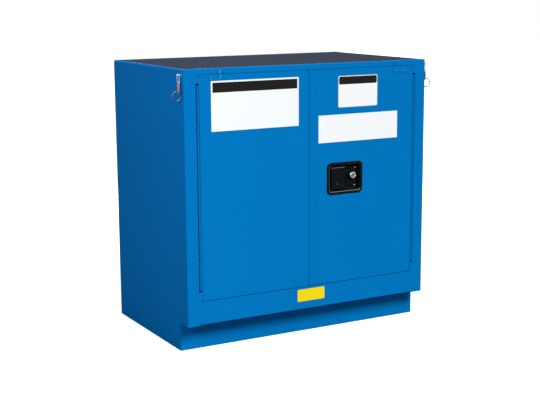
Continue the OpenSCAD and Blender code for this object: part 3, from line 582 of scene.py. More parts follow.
def slab(
    width: float, height: float, corner: float, y0: float, y1: float, soft: float = 0.0, segments: int = 3
) -> BMesh:
    """A closed plate with a softened front rim, centred on X and Z.

    Args:
        width: Millimetres along X.
        height: Millimetres along Z.
        corner: Corner radius.
        y0: Front, in millimetres.
        y1: Back, in millimetres.
        soft: Width of the round on the front rim.
        segments: Steps of that round.

    Returns:
        The mesh.
    """
    bm = sheet_face(width, height, corner)
    front = list(bm.faces)
    grown = bmesh.ops.extrude_face_region(bm, geom=front)["geom"]
    back = [v for v in grown if isinstance(v, BMVert)]
    bmesh.ops.translate(bm, vec=(0.0, (y1 - y0) * MM, 0.0), verts=back)
    close(shift(bm, Vector((0.0, y0 * MM, 0.0))))
    if soft > 0:
        bevel(bm, edges_at(bm, Y, y0 * MM), soft, segments)
    return bm


def lathe(profile: Sequence[tuple[float, float]], steps: int) -> BMesh:
    """Turns a profile round the Y axis.

    Args:
        profile: Pairs of a radius and a depth in millimetres; a radius of 0 closes the shape.
        steps: Steps of the full turn.

    Returns:
        The closed mesh.
    """
    bm = bmesh.new()
    row = [bm.verts.new((r * MM, y * MM, 0.0)) for r, y in profile]
    edges = [bm.edges.new(pair) for pair in zip(row, row[1:])]
    bmesh.ops.spin(
        bm,
        geom=[*row, *edges],
        cent=(0.0, 0.0, 0.0),
        axis=(0.0, 1.0, 0.0),
        angle=math.tau,
        steps=steps,
        use_merge=True,
        use_duplicate=False,
    )
    bmesh.ops.remove_doubles(bm, verts=bm.verts, dist=WELD)
    return close(bm)


def coil(radius: float, wire: float, rise: float, turns: float) -> BMesh:
    """A round wire wound round the Z axis, climbing from z = 0.

    Args:
        radius: Millimetres from the axis to the middle of the wire.
        wire: Radius of the wire.
        rise: How far it climbs.
        turns: Number of turns.

    Returns:
        The closed mesh.
    """
    bm = bmesh.new()
    bmesh.ops.create_circle(bm, cap_ends=True, segments=12, radius=wire * MM)
    shift(stand_up(bm), Vector((radius * MM, 0.0, 0.0)))
    steps = int(turns * 28)
    bmesh.ops.spin(
        bm,
        geom=[*bm.verts, *bm.edges, *bm.faces],
        cent=(0.0, 0.0, 0.0),
        axis=(0.0, 0.0, 1.0),
        dvec=(0.0, 0.0, rise * MM / steps),
        angle=math.tau * turns,
        steps=steps,
        use_merge=False,
        use_duplicate=False,
    )
    return close(bm)


def post(radius: float, long: float, sides: int) -> BMesh:
    """An upright round post with softened rims, centred on the origin.

    Args:
        radius: Millimetres.
        long: Millimetres along Z.
        sides: Steps of its round.

    Returns:
        The closed mesh.
    """
    bm = bmesh.new()
    size = radius * MM
    bmesh.ops.create_cone(bm, cap_ends=True, segments=sides, radius1=size, radius2=size, depth=long * MM)
    bevel(bm, [e for e in bm.edges if e.calc_face_angle(0.0) > math.radians(50)], 0.5, 2)
    return bm


def brick(low: Vector, high: Vector, soft: float) -> BMesh:
    """A block between two corners in metres, with rounded edges.

    Args:
        low: Lowest corner.
        high: Highest corner.
        soft: Width of the round in millimetres.

    Returns:
        The mesh.
    """
    bm = bmesh.new()
    bmesh.ops.create_cube(bm, size=1.0)
    bmesh.ops.scale(bm, vec=high - low, verts=bm.verts)
    bevel(shift(bm, (low + high) / 2), bm.edges, soft, 2)
    return bm


def merge(target: BMesh, extra: BMesh, move: Matrix | Vector | None = None) -> None:
    """Adds a mesh to another and frees it.

    Args:
        target: The mesh that grows.
        extra: The mesh that is added.
        move: Where it goes, as a shift or a matrix.
    """
    if isinstance(move, Vector):
        move = Matrix.Translation(move)
    if move is not None:
        bmesh.ops.transform(extra, matrix=move, verts=extra.verts)
    spare = bpy.data.meshes.new("spare")
    extra.to_mesh(spare)
    extra.free()
    target.from_mesh(spare)
    bpy.data.meshes.remove(spare)


def stamp(make: Callable[[], BMesh], spots: Iterable[Vector | Matrix]) -> BMesh:
    """Repeats one small mesh at several places.

    Args:
        make: Function that makes the mesh.
        spots: The places.

    Returns:
        All of them as one mesh.
    """
    bm = bmesh.new()
    for spot in spots:
        merge(bm, make(), spot)
    return bm


def cut_hole(
    bm: BMesh, x0: float, x1: float, z0: float, z1: float, keep_before: float = -math.inf
) -> None:
    """Cuts a rectangular hole through the faces that look to the front.

    Args:
        bm: The mesh.
        x0: Left edge in metres.
        x1: Right edge in metres.
        z0: Lower edge in metres.
        z1: Upper edge in metres.
        keep_before: Depth in metres in front of which faces stay.
    """
    for point, normal in (
        ((x0, 0, 0), (1, 0, 0)),
        ((x1, 0, 0), (1, 0, 0)),
        ((0, 0, z0), (0, 0, 1)),
        ((0, 0, z1), (0, 0, 1)),
    ):
        geom = [*bm.verts, *bm.edges, *bm.faces]
        bmesh.ops.bisect_plane(bm, geom=geom, dist=WELD, plane_co=point, plane_no=normal)

    def inside(face: BMFace) -> bool:
        """True for a face that lies in the hole."""
        c = face.calc_center_median()
        return x0 < c.x < x1 and z0 < c.z < z1 and abs(face.normal.y) > 0.9 and c.y > keep_before

    bmesh.ops.delete(bm, geom=[f for f in bm.faces if inside(f)], context="FACES")


def show(name: str, data: Any) -> bpy.types.Object:
    """Puts an object into the scene.

    Args:
        name: Its name.
        data: The mesh, lamp or camera that it shows.

    Returns:
        The object.
    """
    thing = bpy.data.objects.new(name, data)
    bpy.context.scene.collection.objects.link(thing)
    return thing


def settle(name: str, bm: BMesh) -> bpy.types.Object:
    """Turns a mesh into an object of the scene.

    Args:
        name: The object's name.
        bm: The mesh; it is freed.

    Returns:
        The object.
    """
    mesh = bpy.data.meshes.new(name)
    bm.to_mesh(mesh)
    bm.free()
    return show(name, mesh)


@dataclass(frozen=True)
class Piece:
    """One finished piece: its name, body, finish and slot, what it replaces and the finish of its faces that
    carry a painted highlight.
    """

    name: str
    body: str
    finish: Finish
    slot: str
    stands_for: tuple[str, ...] = ()
    painted_highlight: Finish | None = None

    def make(self, bm: BMesh, wall_mm: float = 0.0) -> None:
        """Turns a mesh into the piece.

        Args:
            bm: The mesh, in the frame's metres; it is freed.
            wall_mm: Sheet thickness that an open shell gets, inwards.
        """
        piece = settle(self.name, bm)
        mesh = piece.data
        for polygon in mesh.polygons:
            polygon.use_smooth = True
        mesh.set_sharp_from_angle(angle=SHARP)
        mesh.materials.append(self.finish.material)
        if self.painted_highlight is not None:
            mesh.materials.append(self.painted_highlight.material)
        if wall_mm > 0:
            shell = piece.modifiers.new("sheet", "SOLIDIFY")
            shell.thickness = wall_mm * MM
            shell.offset = -1.0
            shell.use_even_offset = True
        even = piece.modifiers.new("even_normals", "WEIGHTED_NORMAL")
        even.weight = 100
        even.keep_sharp = True
        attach(piece, self.body)
        if self.stands_for:
            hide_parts(*self.stands_for)
        log.info("%s: %d faces on %s", self.name, len(mesh.polygons), self.body)


def pop_rivet(radius: float, rise: float) -> BMesh:
    """A domed rivet head with a mandrel dimple, its face to the front at y = 0.

    Args:
        radius: Millimetres.
        rise: How far the dome stands proud.

    Returns:
        The closed mesh.
    """
    return lathe(
        [
            (0.0, -0.55 * rise),
            (radius * 0.24, -0.6 * rise),
            (radius * 0.3, -rise),
            (radius * 0.62, -0.88 * rise),
            (radius * 0.92, -0.45 * rise),
            (radius, 0.0),
            (0.0, 0.0),
        ],
        20,
    )


def pan_screw(radius: float, rise: float) -> BMesh:
    """A pan head without a recess, its face to the front at y = 0."""
    rim = [(radius * 0.55, -rise), (radius * 0.86, -0.78 * rise), (radius, -0.35 * rise), (radius, 0.0)]
    return lathe([(0.0, -rise), *rim, (0.0, 0.0)], 24)


def rivet_row(name: str, body: str, leaf: str, face_x: float, turn: int) -> None:
    """Adds the rivet heads along one leaf of a hinge.

    Args:
        name: The piece's name.
        body: The body that it rides on.
        leaf: The leaf's solid.
        face_x: The face that they sit on, in metres.
        turn: Quarter turns of their heads away from the front.
    """
    count, behind = 8, 18 * MM
    low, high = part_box(leaf)
    step = (high.z - low.z) / count
    head = Matrix.Rotation(QUARTER * turn, 4, "Z")
    places = [Vector((face_x, FRONT_Y + behind, low.z + step * (i + 0.5))) for i in range(count)]
    spots = [Matrix.Translation(place) @ head for place in places]
    Piece(name, body, Finish.BLUE, "blue_coat").make(stamp(lambda: pop_rivet(3.0, 0.9), spots))


# ---------- carcass


@dataclass
class Carcass:
    """What finishes the double-wall box: its top sheet, lips, welds, bridges, seams, rivets and springs."""

    width: float = 889.0
    height: float = 889.0
    depth: float = 559.0
    weld_pitch: float = 76.0
    weld_radius: float = 3.4
    weld_edge: float = 8.0
    weld_foot: float = 40.0
    leaf_x: float = 401.5
    seam_x: float = 403.0
    rails: tuple[tuple[float, float], ...] = ((92.5, 165.5), (871.5, 885.0))
    bridge_x: float = 323.0
    bridge_z: float = 876.5
    bridge_left: float = 7.8
    bridge_right: float = 6.2
    gap_x: float = 394.5
    head_gap_z: float = 869.5
    sill_gap_z: float = 166.5
    sunk: float = 1.2
    skirt: float = 11.0
    slack: float = 0.5
    sheet: float = 1.2
    spring_x: float = 323.5
    spring_y: float = 40.0
    spring_bore: float = 5.4
    spring_wire: float = 0.9

    def build(self) -> None:
        """Adds the pieces, from the top sheet down to the springs."""
        self.top_sheet()
        self.head_lips()
        self.back_welds()
        self.rail_bridges()
        self.corner_seams()
        self.hinge_rivets()
        self.springs()

    def top_sheet(self) -> None:
        """Forms the slate top from one sheet, set a little below the rim that runs round it."""
        low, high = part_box("top_panel")
        bm = blank(high.x - low.x - self.slack * MM, high.y - low.y - self.slack * MM)
        extrude_rim(bm, open_edges(bm), Vector((0.0, 0.0, -self.skirt * MM)))
        face_out(bm, UPWARD)
        bevel(bm, edges_at(bm, Z, 0.0), self.sheet, 4)
        middle = (low + high) / 2
        shift(bm, Vector((middle.x, middle.y, high.z - self.sunk * MM)))
        Piece("top_panel_formed", "carcass", Finish.SLATE, "top_coat", ("top_panel",)).make(bm, self.sheet)

    def head_lips(self) -> None:
        """Closes the fine gap over and beside the doors with a lip in the body's blue, and fills the one
        under them with painted shade.
        """
        end, half, y0, y1, soft = self.gap_x + 0.1, 0.45, 0.15, 3.0, 0.05
        z = self.head_gap_z
        made = brick(at(-end, y0, z - half), at(end, y1, z + half), soft)
        for side in Side:
            x0, x1 = side.reach(self.gap_x - half, self.gap_x + half)
            merge(made, brick(at(x0, y0, z - 24), at(x1, y1, z), soft))
        Piece("head_lips", "carcass", Finish.BLUE, "blue_coat").make(made)
        # The gap under the doors gets a strip of painted shade.
        end, half, z = self.gap_x - 0.3, 0.4, self.sill_gap_z
        seam = brick(at(-end, 0.55, z - half), at(end, y1, z + half), 0.1)
        Piece("sill_gap_shade", "carcass", Finish.SHADOW, "blue_coat").make(seam)

    def back_welds(self) -> None:
        """Adds the rows of spot welds where the back panel laps the flanges of the sides."""
        count = int((self.height - 2 * self.weld_foot) // self.weld_pitch) + 1
        rows = [self.weld_foot + i * self.weld_pitch for i in range(count)]
        edge = self.width / 2 - self.weld_edge
        behind = Matrix.Rotation(2 * QUARTER, 4, "Z")
        places = [at(side.value * edge, self.depth, z) for side in Side for z in rows]
        spots = [Matrix.Translation(place) @ behind for place in places]
        r = self.weld_radius
        ring = [(0.0, -0.12), (r * 0.7, -0.12), (r * 0.85, -0.32), (r, 0.0), (0.0, 0.0)]
        made = stamp(lambda: lathe(ring, 16), spots)
        Piece("back_spot_welds", "carcass", Finish.BLUE, "blue_coat").make(made)

    def rail_bridges(self) -> None:
        """Adds the lanced bridge over each closer: two slits in the front rail, drawn in painted shade, and a
        raised strap between, the left one with a painted highlight.
        """
        slits = bmesh.new()
        straps = bmesh.new()
        for side in Side:
            middle = side.value * self.bridge_x
            half = self.bridge_left if side is Side.LEFT else self.bridge_right
            for aside, tall, wide, rise in ((-half, 12.0, 5.2, 0.0), (half, 8.0, 4.6, -1.0)):
                slit = slab(wide, tall, 1.7, -0.06, 0.2)
                merge(slits, slit, at(middle + aside, 0, self.bridge_z + rise))
            strap = slab(2 * half - 5.1, 11.5, 2.6, -1.3, 0.2, 1.2, 4)
            # The left strap takes the lighter blue as a painted highlight.
            for face in strap.faces:
                face.material_index = int(side is Side.LEFT)
            merge(straps, strap, at(middle, 0, self.bridge_z))
        # The slits are plates of painted shade.
        Piece("rail_slit_shade", "carcass", Finish.SHADED_BLUE, "blue_coat").make(slits)
        Piece("rail_straps", "carcass", Finish.BLUE, "blue_coat", painted_highlight=Finish.GLOSS_HIGHLIGHT_BLUE).make(straps)

    def corner_seams(self) -> None:
        """Adds the fine seams where the front rails butt against the stiles."""
        seams = bmesh.new()
        for side in Side:
            for z0, z1 in self.rails:
                seam = slab(0.5, z1 - z0, 0.2, *ON_SKIN)
                merge(seams, seam, at(side.value * self.seam_x, 0, (z0 + z1) / 2))
        Piece("corner_seams", "carcass", Finish.SHADED_BLUE, "blue_coat").make(seams)

    def hinge_rivets(self) -> None:
        """Adds the rivet heads along the frame leaves of the hinges."""
        for side in Side:
            leaf = f"hinge_frame_leaf_{side.word}"
            x = side.value * self.leaf_x * MM
            rivet_row(f"hinge_rivets_{side.word}", "carcass", leaf, x, -side.value)

    def springs(self) -> None:
        """Winds the closing springs round their posts from smooth wire."""
        low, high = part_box("closer_springs")
        wire = self.spring_wire
        made = bmesh.new()
        for side in Side:
            spring = coil(self.spring_bore + wire, wire, (high.z - low.z) / MM - 2 * wire, 3.5)
            merge(made, spring, at(side.value * self.spring_x, self.spring_y, low.z / MM + wire))
        Piece("closing_springs", "carcass", Finish.STEEL, "bright_steel", ("closer_springs",)).make(made)


@dataclass
class PianoHinge:
    """The hinge of one door: two leaves whose knuckles roll round the pin by turns."""

    side: Side
    axis_x: float = 398.5
    axis_y: float = 1.0
    barrel: float = 3.2
    bore: float = 1.78
    wall: float = 1.5
    foot_z: float = 204.0
    knuckle: float = 12.7
    gap: float = 0.5
    pairs: int = 25
    frame_x: float = 401.5
    door_x: float = 394.0
    leaf_y: float = 27.0
    rim: float = 0.3
    soft: float = 0.2
    slot_x: float = 398.8
    seam_x: float = 403.0
    seam_over: float = 11.6

    @property
    def head_z(self) -> float:
        """Height of the hinge's upper end."""
        return self.foot_z + 2 * self.pairs * self.knuckle

    def build(self) -> None:
        """Adds both leaves and the shades round them."""
        self.leaf("frame", "carcass", 0, self.frame_x)
        self.leaf("door", f"{self.side.word}_door", 1, self.door_x)
        self.slot_shade()
        self.gap_shade()
        self.seam()

    def roll(self, long: float) -> BMesh:
        """One knuckle with softened rims, standing on z = 0.

        Args:
            long: Its length.

        Returns:
            The closed mesh.
        """
        r, rim, bore = self.barrel, self.rim, self.bore
        outside = [(r - rim, 0.0), (r, rim), (r, long - rim), (r - rim, long)]
        return stand_up(lathe([(bore, 0.0), *outside, (bore, long), (bore, 0.0)], 28))

    def leaf(self, kind: str, body: str, first: int, low_x: float) -> None:
        """Adds one leaf: its sheet, the run of the sheet up to each knuckle and the knuckles.

        Args:
            kind: Word for the leaf, as its solid spells it.
            body: The body that it rides on.
            first: 0 for the knuckles that start at the foot, 1 for those between.
            low_x: Nearer side of the sheet.
        """
        back = self.axis_y + self.barrel
        x0, x1 = self.side.reach(low_x, low_x + self.wall)
        made = brick(at(x0, back + 1.0, self.foot_z), at(x1, self.leaf_y, self.head_z), self.soft)
        for number in range(self.pairs):
            low = self.foot_z + (2 * number + first) * self.knuckle + self.gap / 2
            high = low + self.knuckle - self.gap
            merge(made, self.roll(high - low), at(self.side.value * self.axis_x, self.axis_y, low))
            merge(made, brick(at(x0, self.axis_y, low), at(x1, back + 1.6, high), self.soft))
        name = f"hinge_{kind}_leaf_{self.side.word}"
        Piece(f"{name}_rolled", body, Finish.BLUE, "blue_coat", (name,)).make(made)

    def slot_shade(self) -> None:
        """Adds painted shade in the ends of the slot that the hinge lies in."""
        ends = [at(self.side.value * self.slot_x, 0, z) for z in (self.foot_z - 3.0, self.head_z + 3.0)]
        made = stamp(lambda: slab(8.4, 5.6, 0.8, 3.0, 5.0), ends)
        Piece(f"hinge_slot_shade_{self.side.word}", "carcass", Finish.SHADOW, "black_latch").make(made)

    def gap_shade(self) -> None:
        """Adds painted shade in the gaps between the door's knuckles."""
        gaps = bmesh.new()
        x0, x1 = self.side.reach(self.door_x + 0.05, self.door_x + 1.25)
        for number in range(self.pairs):
            low = self.foot_z + 2 * number * self.knuckle + self.gap
            high = low + self.knuckle - 2 * self.gap
            merge(gaps, brick(at(x0, 0.5, low), at(x1, 4.8, high), 0.1))
        word = self.side.word
        Piece(f"hinge_gaps_{word}", f"{word}_door", Finish.SHADOW, "black_latch").make(gaps)

    def seam(self) -> None:
        """Adds the seam along the stile as painted shade that stands for the depth of the hinge gap, wider
        and darker on the side nearer the camera.
        """
        wide, finish = (1.8, Finish.SHADOW) if self.side is Side.LEFT else (1.0, Finish.SHADED_BLUE)
        seam = slab(wide, self.head_z - self.foot_z + self.seam_over, 0.4, *ON_SKIN)
        x = self.side.value * (self.seam_x + wide / 2)
        shift(seam, at(x, 0, (self.foot_z + self.head_z) / 2))
        Piece(f"hinge_seam_{self.side.word}", "carcass", finish, "blue_coat").make(seam)


# ---------- doors


@dataclass
class Door:
    """One double-wall door: formed skin, lug pad, rivets and, on the right one, the strip along its edge."""

    side: Side
    corner: float = 6.0
    rim: float = 1.0
    flange: float = 12.0
    sheet: float = 1.2
    leaf: float = 1.5
    pad_x: float = 338.3
    pad_wide: float = 49.0
    pad_head: float = 868.0
    pad_foot_left: float = 850.6
    pad_foot_right: float = 846.6
    pad_rivets: tuple[float, float] = (323.0, 353.5)
    pad_rivet_z: float = 856.6
    slot_spot: Triple = (-329.2, 0.0, 865.8)
    tongue_spot: Triple = (-320.6, 0.0, 863.2)
    strip_x: float = 13.0
    strip_in: float = 2.5
    strip_end: float = 8.0

    @property
    def body(self) -> str:
        """The body that the door's pieces ride on."""
        return f"{self.side.word}_door"

    def build(self) -> None:
        """Adds the door's pieces."""
        self.skin()
        self.lug_pad()
        self.leaf_rivets()
        if self.side is Side.RIGHT:
            self.edge_strip()

    def skin(self) -> None:
        """Forms the skin from one sheet, with softened folds and a window for the latch tray."""
        node = f"door_skin_{self.side.word}"
        low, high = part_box(node)
        bm = sheet_face((high.x - low.x) / MM, (high.z - low.z) / MM, self.corner)
        extrude_rim(bm, open_edges(bm), Vector((0.0, self.flange * MM, 0.0)))
        face_out(bm, FORWARD)
        bevel(bm, edges_at(bm, Y, 0.0), self.rim, 4)
        middle = (low + high) / 2
        shift(bm, Vector((middle.x, low.y, middle.z)))
        if self.side is Side.RIGHT:
            cut_hole(bm, *TRAY.window())
        skin = Piece(f"door_front_{self.side.word}", self.body, Finish.BLUE, "blue_coat", (node,))
        skin.make(bm, self.sheet)

    def lug_pad(self) -> None:
        """Adds the raised pad behind which the closer's lug sits, and its two rivets in a lighter blue as a
        painted highlight.
        """
        word, head = self.side.word, self.pad_head
        foot = self.pad_foot_right if self.side is Side.RIGHT else self.pad_foot_left
        pad = slab(self.pad_wide, head - foot, 9.0, -1.4, 0.0, 1.3, 4)
        shift(pad, at(self.side.value * self.pad_x, 0, (head + foot) / 2))
        Piece(f"lug_pad_{word}", self.body, Finish.BLUE, "blue_coat").make(pad)
        spots = [at(self.side.value * x, -1.35, self.pad_rivet_z) for x in self.pad_rivets]
        made = stamp(lambda: pop_rivet(2.9, 0.8), spots)
        # On the left door, a slot in painted shade and a tongue in the lighter blue as a painted highlight.
        if self.side is Side.LEFT:
            slot = shift(slab(4.6, 3.6, 1.0, -1.46, 0.0), at(*self.slot_spot))
            Piece("lug_slot", self.body, Finish.SHADED_BLUE, "blue_coat").make(slot)
            merge(made, slab(6.5, 9.0, 2.5, -1.8, 0.0, 1.0, 4), at(*self.tongue_spot))
        Piece(f"lug_rivets_{word}", self.body, Finish.GLOSS_HIGHLIGHT_BLUE, "blue_coat").make(made)

    def edge_strip(self) -> None:
        """Adds the narrow stiffening strip along the meeting edge, and the seam beside it, drawn as a line of
        painted shade.
        """
        low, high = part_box("door_skin_right")
        x0, x1 = low.x / MM + self.strip_in, self.strip_x
        z0, z1 = low.z / MM + self.strip_end, high.z / MM - self.strip_end
        middle = (z0 + z1) / 2
        strip = shift(slab(x1 - x0, z1 - z0, 1.0, -0.35, 0.0, 0.3), at((x0 + x1) / 2, 0, middle))
        Piece("meeting_edge_strip", self.body, Finish.BLUE, "blue_coat").make(strip)
        # The seam is a line of painted shade.
        seam = shift(slab(0.9, z1 - z0, 0.3, -0.03, 0.0), at(x1 + 0.6, 0, middle))
        Piece("meeting_edge_crease_shade", self.body, Finish.SHADED_BLUE, "blue_coat").make(seam)

    def leaf_rivets(self) -> None:
        """Adds the rivet heads along the door leaf of the hinge."""
        leaf = f"hinge_door_leaf_{self.side.word}"
        low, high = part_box(leaf)
        x = low.x + self.leaf * MM if self.side is Side.RIGHT else high.x - self.leaf * MM
        rivet_row(f"leaf_rivets_{self.side.word}", self.body, leaf, x, self.side.value)


@dataclass
class FilmPlate:
    """A bare plate of printed film on the front, with an optional edge line and a band along its top."""

    name: str
    body: str
    x0: float
    x1: float
    z0: float
    z1: float
    film: Finish = Finish.WHITE_FILM
    corner: float = 1.5
    edge: Finish | None = None
    band: tuple[float, float] | None = None
    inset: float = 0.0
    thick: float = 0.35
    layer_step: float = 0.12
    edge_line: float = 1.2

    def build(self) -> None:
        """Adds the plate, its edge line and its band, each a hair in front of the last."""
        lift = inset = 0.0
        if self.edge is not None:
            self.layer("edge", self.edge, inset, self.z0, self.z1, lift)
            lift, inset = self.layer_step, self.edge_line
        self.layer("plate", self.film, inset, self.z0 + inset, self.z1 - inset, lift)
        if self.band is not None:
            self.layer("band", Finish.BLACK_FILM, self.inset, *self.band, lift + self.layer_step)

    def layer(self, part: str, finish: Finish, inset: float, z0: float, z1: float, lift: float) -> None:
        """Adds one layer of film.

        Args:
            part: Word that ends the piece's name.
            finish: Its finish.
            inset: How far its sides are in from those of the plate.
            z0: Lower edge.
            z1: Upper edge.
            lift: How far it stands in front of the layer under it.
        """
        corner = min(self.corner, (z1 - z0) / 3)
        wide = self.x1 - self.x0 - 2 * inset
        bm = slab(wide, z1 - z0, corner, -self.thick - lift, 0.0, self.layer_step, 2)
        shift(bm, at((self.x0 + self.x1) / 2, 0, (z0 + z1) / 2))
        Piece(f"{self.name}_{part}", self.body, finish, "top_coat").make(bm)


# ---------- latch


@dataclass
class LatchTray:
    """Black tray with its paddle, lock and fasteners."""

    width: float = 138.0
    height: float = 106.0
    corner: float = 16.5
    rim: float = 10.5
    deep: float = 18.0
    proud: float = 2.0
    x: float = 127.0
    z: float = 514.0
    wall: float = 2.0
    draft: float = 2.2
    floor_round: float = 3.0
    fold_round: float = 1.9
    slot_x0: float = 75.0
    slot_x1: float = 101.0
    slot_half: float = 5.0
    pin_x: float = 81.0
    pin_y: float = 6.0
    boss: float = 4.0
    lock_x: float = 161.0
    lock_z: float = 520.4
    dimple_x: float = 101.0
    dimple_z: float = 496.5
    foot_y: float = 15.0
    screw_spots: tuple[tuple[float, float], ...] = ((16.0, 29.0), (14.0, -29.0))

    @property
    def half_w(self) -> float:
        """Half the width of the recess."""
        return self.width / 2 - self.rim

    @property
    def half_h(self) -> float:
        """Half the height of the recess."""
        return self.height / 2 - self.rim

    def window(self) -> tuple[float, float, float, float]:
        """The edges of the hole in the door skin.

        Returns:
            The left, right, lower and upper edge, in metres.
        """
        clear = self.wall + 0.2
        wide, tall = (self.half_w + clear) * MM, (self.half_h + clear) * MM
        x, z = self.x * MM, self.z * MM
        return (x - wide, x + wide, z - tall, z + tall)

    def build(self) -> None:
        """Adds the tray and what sits in it."""
        self.tray()
        self.bosses()
        self.paddle()
        self.housing()
        self.cylinder()
        self.plug()
        self.screws()
        self.spring()

    def tray(self) -> None:
        """Forms the tray: rolled flange, drafted recess and a slot behind the paddle, with a painted
        highlight on the lower and left inner fold.
        """
        front_y = -self.proud * MM
        bm = shift(sheet_face(self.width, self.height, self.corner, 8), Vector((0.0, front_y, 0.0)))
        face = list(bm.faces)
        rim = self.rim * MM
        bmesh.ops.inset_region(bm, faces=face, thickness=rim, use_even_offset=True, use_boundary=True)
        floor = max(bm.faces, key=lambda f: f.calc_area())
        extrude_rim(bm, open_edges(bm), Vector((0.0, (self.proud - 0.05) * MM, 0.0)))
        grown = bmesh.ops.extrude_discrete_faces(bm, faces=[floor])["faces"][0]
        bmesh.ops.translate(bm, vec=(0.0, (self.deep + self.proud) * MM, 0.0), verts=grown.verts)
        narrow = (1 - self.draft / self.half_w, 1.0, 1 - self.draft / self.half_h)
        middle = Matrix.Translation(-grown.calc_center_median())
        bmesh.ops.scale(bm, vec=narrow, verts=grown.verts, space=middle)
        front = [f for f in bm.faces if all(abs(v.co.y - front_y) < LEVEL for v in f.verts)]
        face_out(bm, FORWARD, front)
        rims = edges_at(bm, Y, front_y)
        folds = [e for e in rims if len(e.link_faces) == 2 and e.calc_face_angle(0.0) > 0.5]
        bevel(bm, edges_at(bm, Y, self.deep * MM), self.floor_round, 4)
        # The lower and left inner fold takes the lighter black as a painted highlight.
        for face in bevel(bm, folds, self.fold_round, 4):
            face.material_index = int(self.rubbed(face.calc_center_median() / MM))
        shift(bm, at(self.x, 0, self.z))
        slot = (self.slot_x0, self.slot_x1, self.z - self.slot_half, self.z + self.slot_half)
        cut_hole(bm, *(edge * MM for edge in slot), keep_before=FRONT_Y + self.deep / 2 * MM)
        node = ("latch_tray",)
        formed = Piece("latch_tray_formed", "right_door", Finish.BLACK, "black_latch", node, Finish.RUBBED)
        formed.make(bm, self.wall)

    def rubbed(self, spot: Vector) -> bool:
        """True for a place, in millimetres from the tray's middle, on the recess's lower or left fold, which
        gets a painted highlight.
        """
        inner = abs(spot.x) < self.half_w + 2.5 and abs(spot.z) < self.half_h + 2.5
        return inner and (spot.z < 4 - self.half_h or spot.x < 4 - self.half_w)

    def bosses(self) -> None:
        """Adds the two bosses that carry the pin of the paddle, over and under it."""
        low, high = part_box("paddle")
        reach, play = self.half_h + 0.5, 3
        made = bmesh.new()
        for z0, z1 in ((self.z - reach, low.z / MM - play), (high.z / MM + play, self.z + reach)):
            merge(made, post(self.boss, z1 - z0, 32), at(self.pin_x, self.pin_y, (z0 + z1) / 2))
            front = at(self.pin_x - self.boss, self.pin_y, z0)
            merge(made, brick(front, at(self.pin_x + self.boss, self.deep + 0.5, z1), 0.5))
        Piece("pin_bosses", "right_door", Finish.BLACK, "black_latch").make(made)

    def paddle(self) -> None:
        """Forms the paddle: a turned plate with a finger lip and a dimple, a boss on the pin and the tail,
        with a painted highlight on the faces that look up.
        """
        low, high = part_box("paddle")
        bm = sheet_face((high.x - low.x) / MM, (high.z - low.z) / MM, 3.0, 4)
        extrude_rim(bm, open_edges(bm), Vector((0.0, 9.0 * MM, 0.0)))
        face_out(bm, FORWARD)
        # Faces of the round that look up take the lighter black as a painted highlight.
        for face in bevel(bm, [e for e in edges_at(bm, Y, 0.0) if len(e.link_faces) == 2], 2.2, 4):
            face.material_index = int(face.normal.z > 0.5)
        middle = (low + high) / 2
        shift(bm, Vector((middle.x, low.y, middle.z)))
        bmesh.ops.solidify(bm, geom=bm.faces[:], thickness=2.0 * MM)
        x, y, z = self.pin_x, self.pin_y, self.z
        merge(bm, post(self.boss, 12, 28), at(x, y, z))
        merge(bm, brick(at(x - 1.7, y, z - 2), at(x + 1.7, (high.y - FRONT_Y) / MM, z + 2), 0.4))
        merge(bm, brick(at(x - 3.8, 2.2, z - 6), at(x + 3.8, 5.5, z + 6), 0.4))
        ring = lathe([(2.3, 1.2), (2.5, 0.1), (3.2, -0.4), (3.9, 0.1), (4.1, 1.2), (2.3, 1.2)], 28)
        ring.normal_update()
        # Faces of the dimple's ring that look up take the lighter black as a painted highlight.
        for face in ring.faces:
            face.material_index = int(face.normal.z > 0.2)
        merge(bm, ring, Vector((self.dimple_x * MM, low.y, self.dimple_z * MM)))
        Piece("paddle_formed", "paddle", Finish.BLACK, "black_latch", ("paddle",), Finish.RUBBED).make(bm)

    def housing(self) -> None:
        """Forms the lock housing: foot, raised body and collar, with softened rims."""
        x, z = self.lock_x, self.lock_z
        bm = shift(slab(45, 68, 3, self.foot_y, self.deep, 0.8), at(x - 0.5, 0, self.z))
        merge(bm, slab(35, 49, 4, 12, 15.2, 1.2), at(x - 3.5, 0, z - 9.5))
        collar = [(11.2, 12.4), (11.2, 5.6), (11.8, 5.0), (13.4, 5.0), (14.3, 5.9), (14.5, 7.0), (14.8, 12.4)]
        merge(bm, lathe(collar, 48), at(x, 0, z))
        Piece("lock_housing_formed", "right_door", Finish.BLACK, "black_latch", ("lock_housing",)).make(bm)

    def cylinder(self) -> None:
        """Turns the lock cylinder with a polished, rounded face ring."""
        ring = [(7.08, 0.9), (7.7, 0.15), (9.2, 0.0), (10.3, 0.35), (11.0, 1.3), (11.0, 21.0)]
        bm = shift(lathe([(7.08, 21.0), *ring, (7.08, 21.0)], 56), at(self.lock_x, 0, self.lock_z))
        Piece("lock_cylinder_turned", "right_door", Finish.CHROME, "lock_chrome", ("lock_cylinder",)).make(bm)

    def plug(self) -> None:
        """Turns the key plug and adds its keyway slit in painted shade."""
        x, z = self.lock_x, self.lock_z
        bm = lathe([(0.0, 1.0), (5.4, 1.0), (6.6, 1.2), (7.0, 1.7), (7.0, 21.0), (0.0, 21.0)], 48)
        merge(shift(bm, at(x, 0, z)), brick(at(x - 3, 20.5, z - 3), at(x + 3, 25, z + 3), 0.4))
        Piece("lock_plug_turned", "key_plug", Finish.CHROME, "lock_chrome", ("lock_plug",)).make(bm)
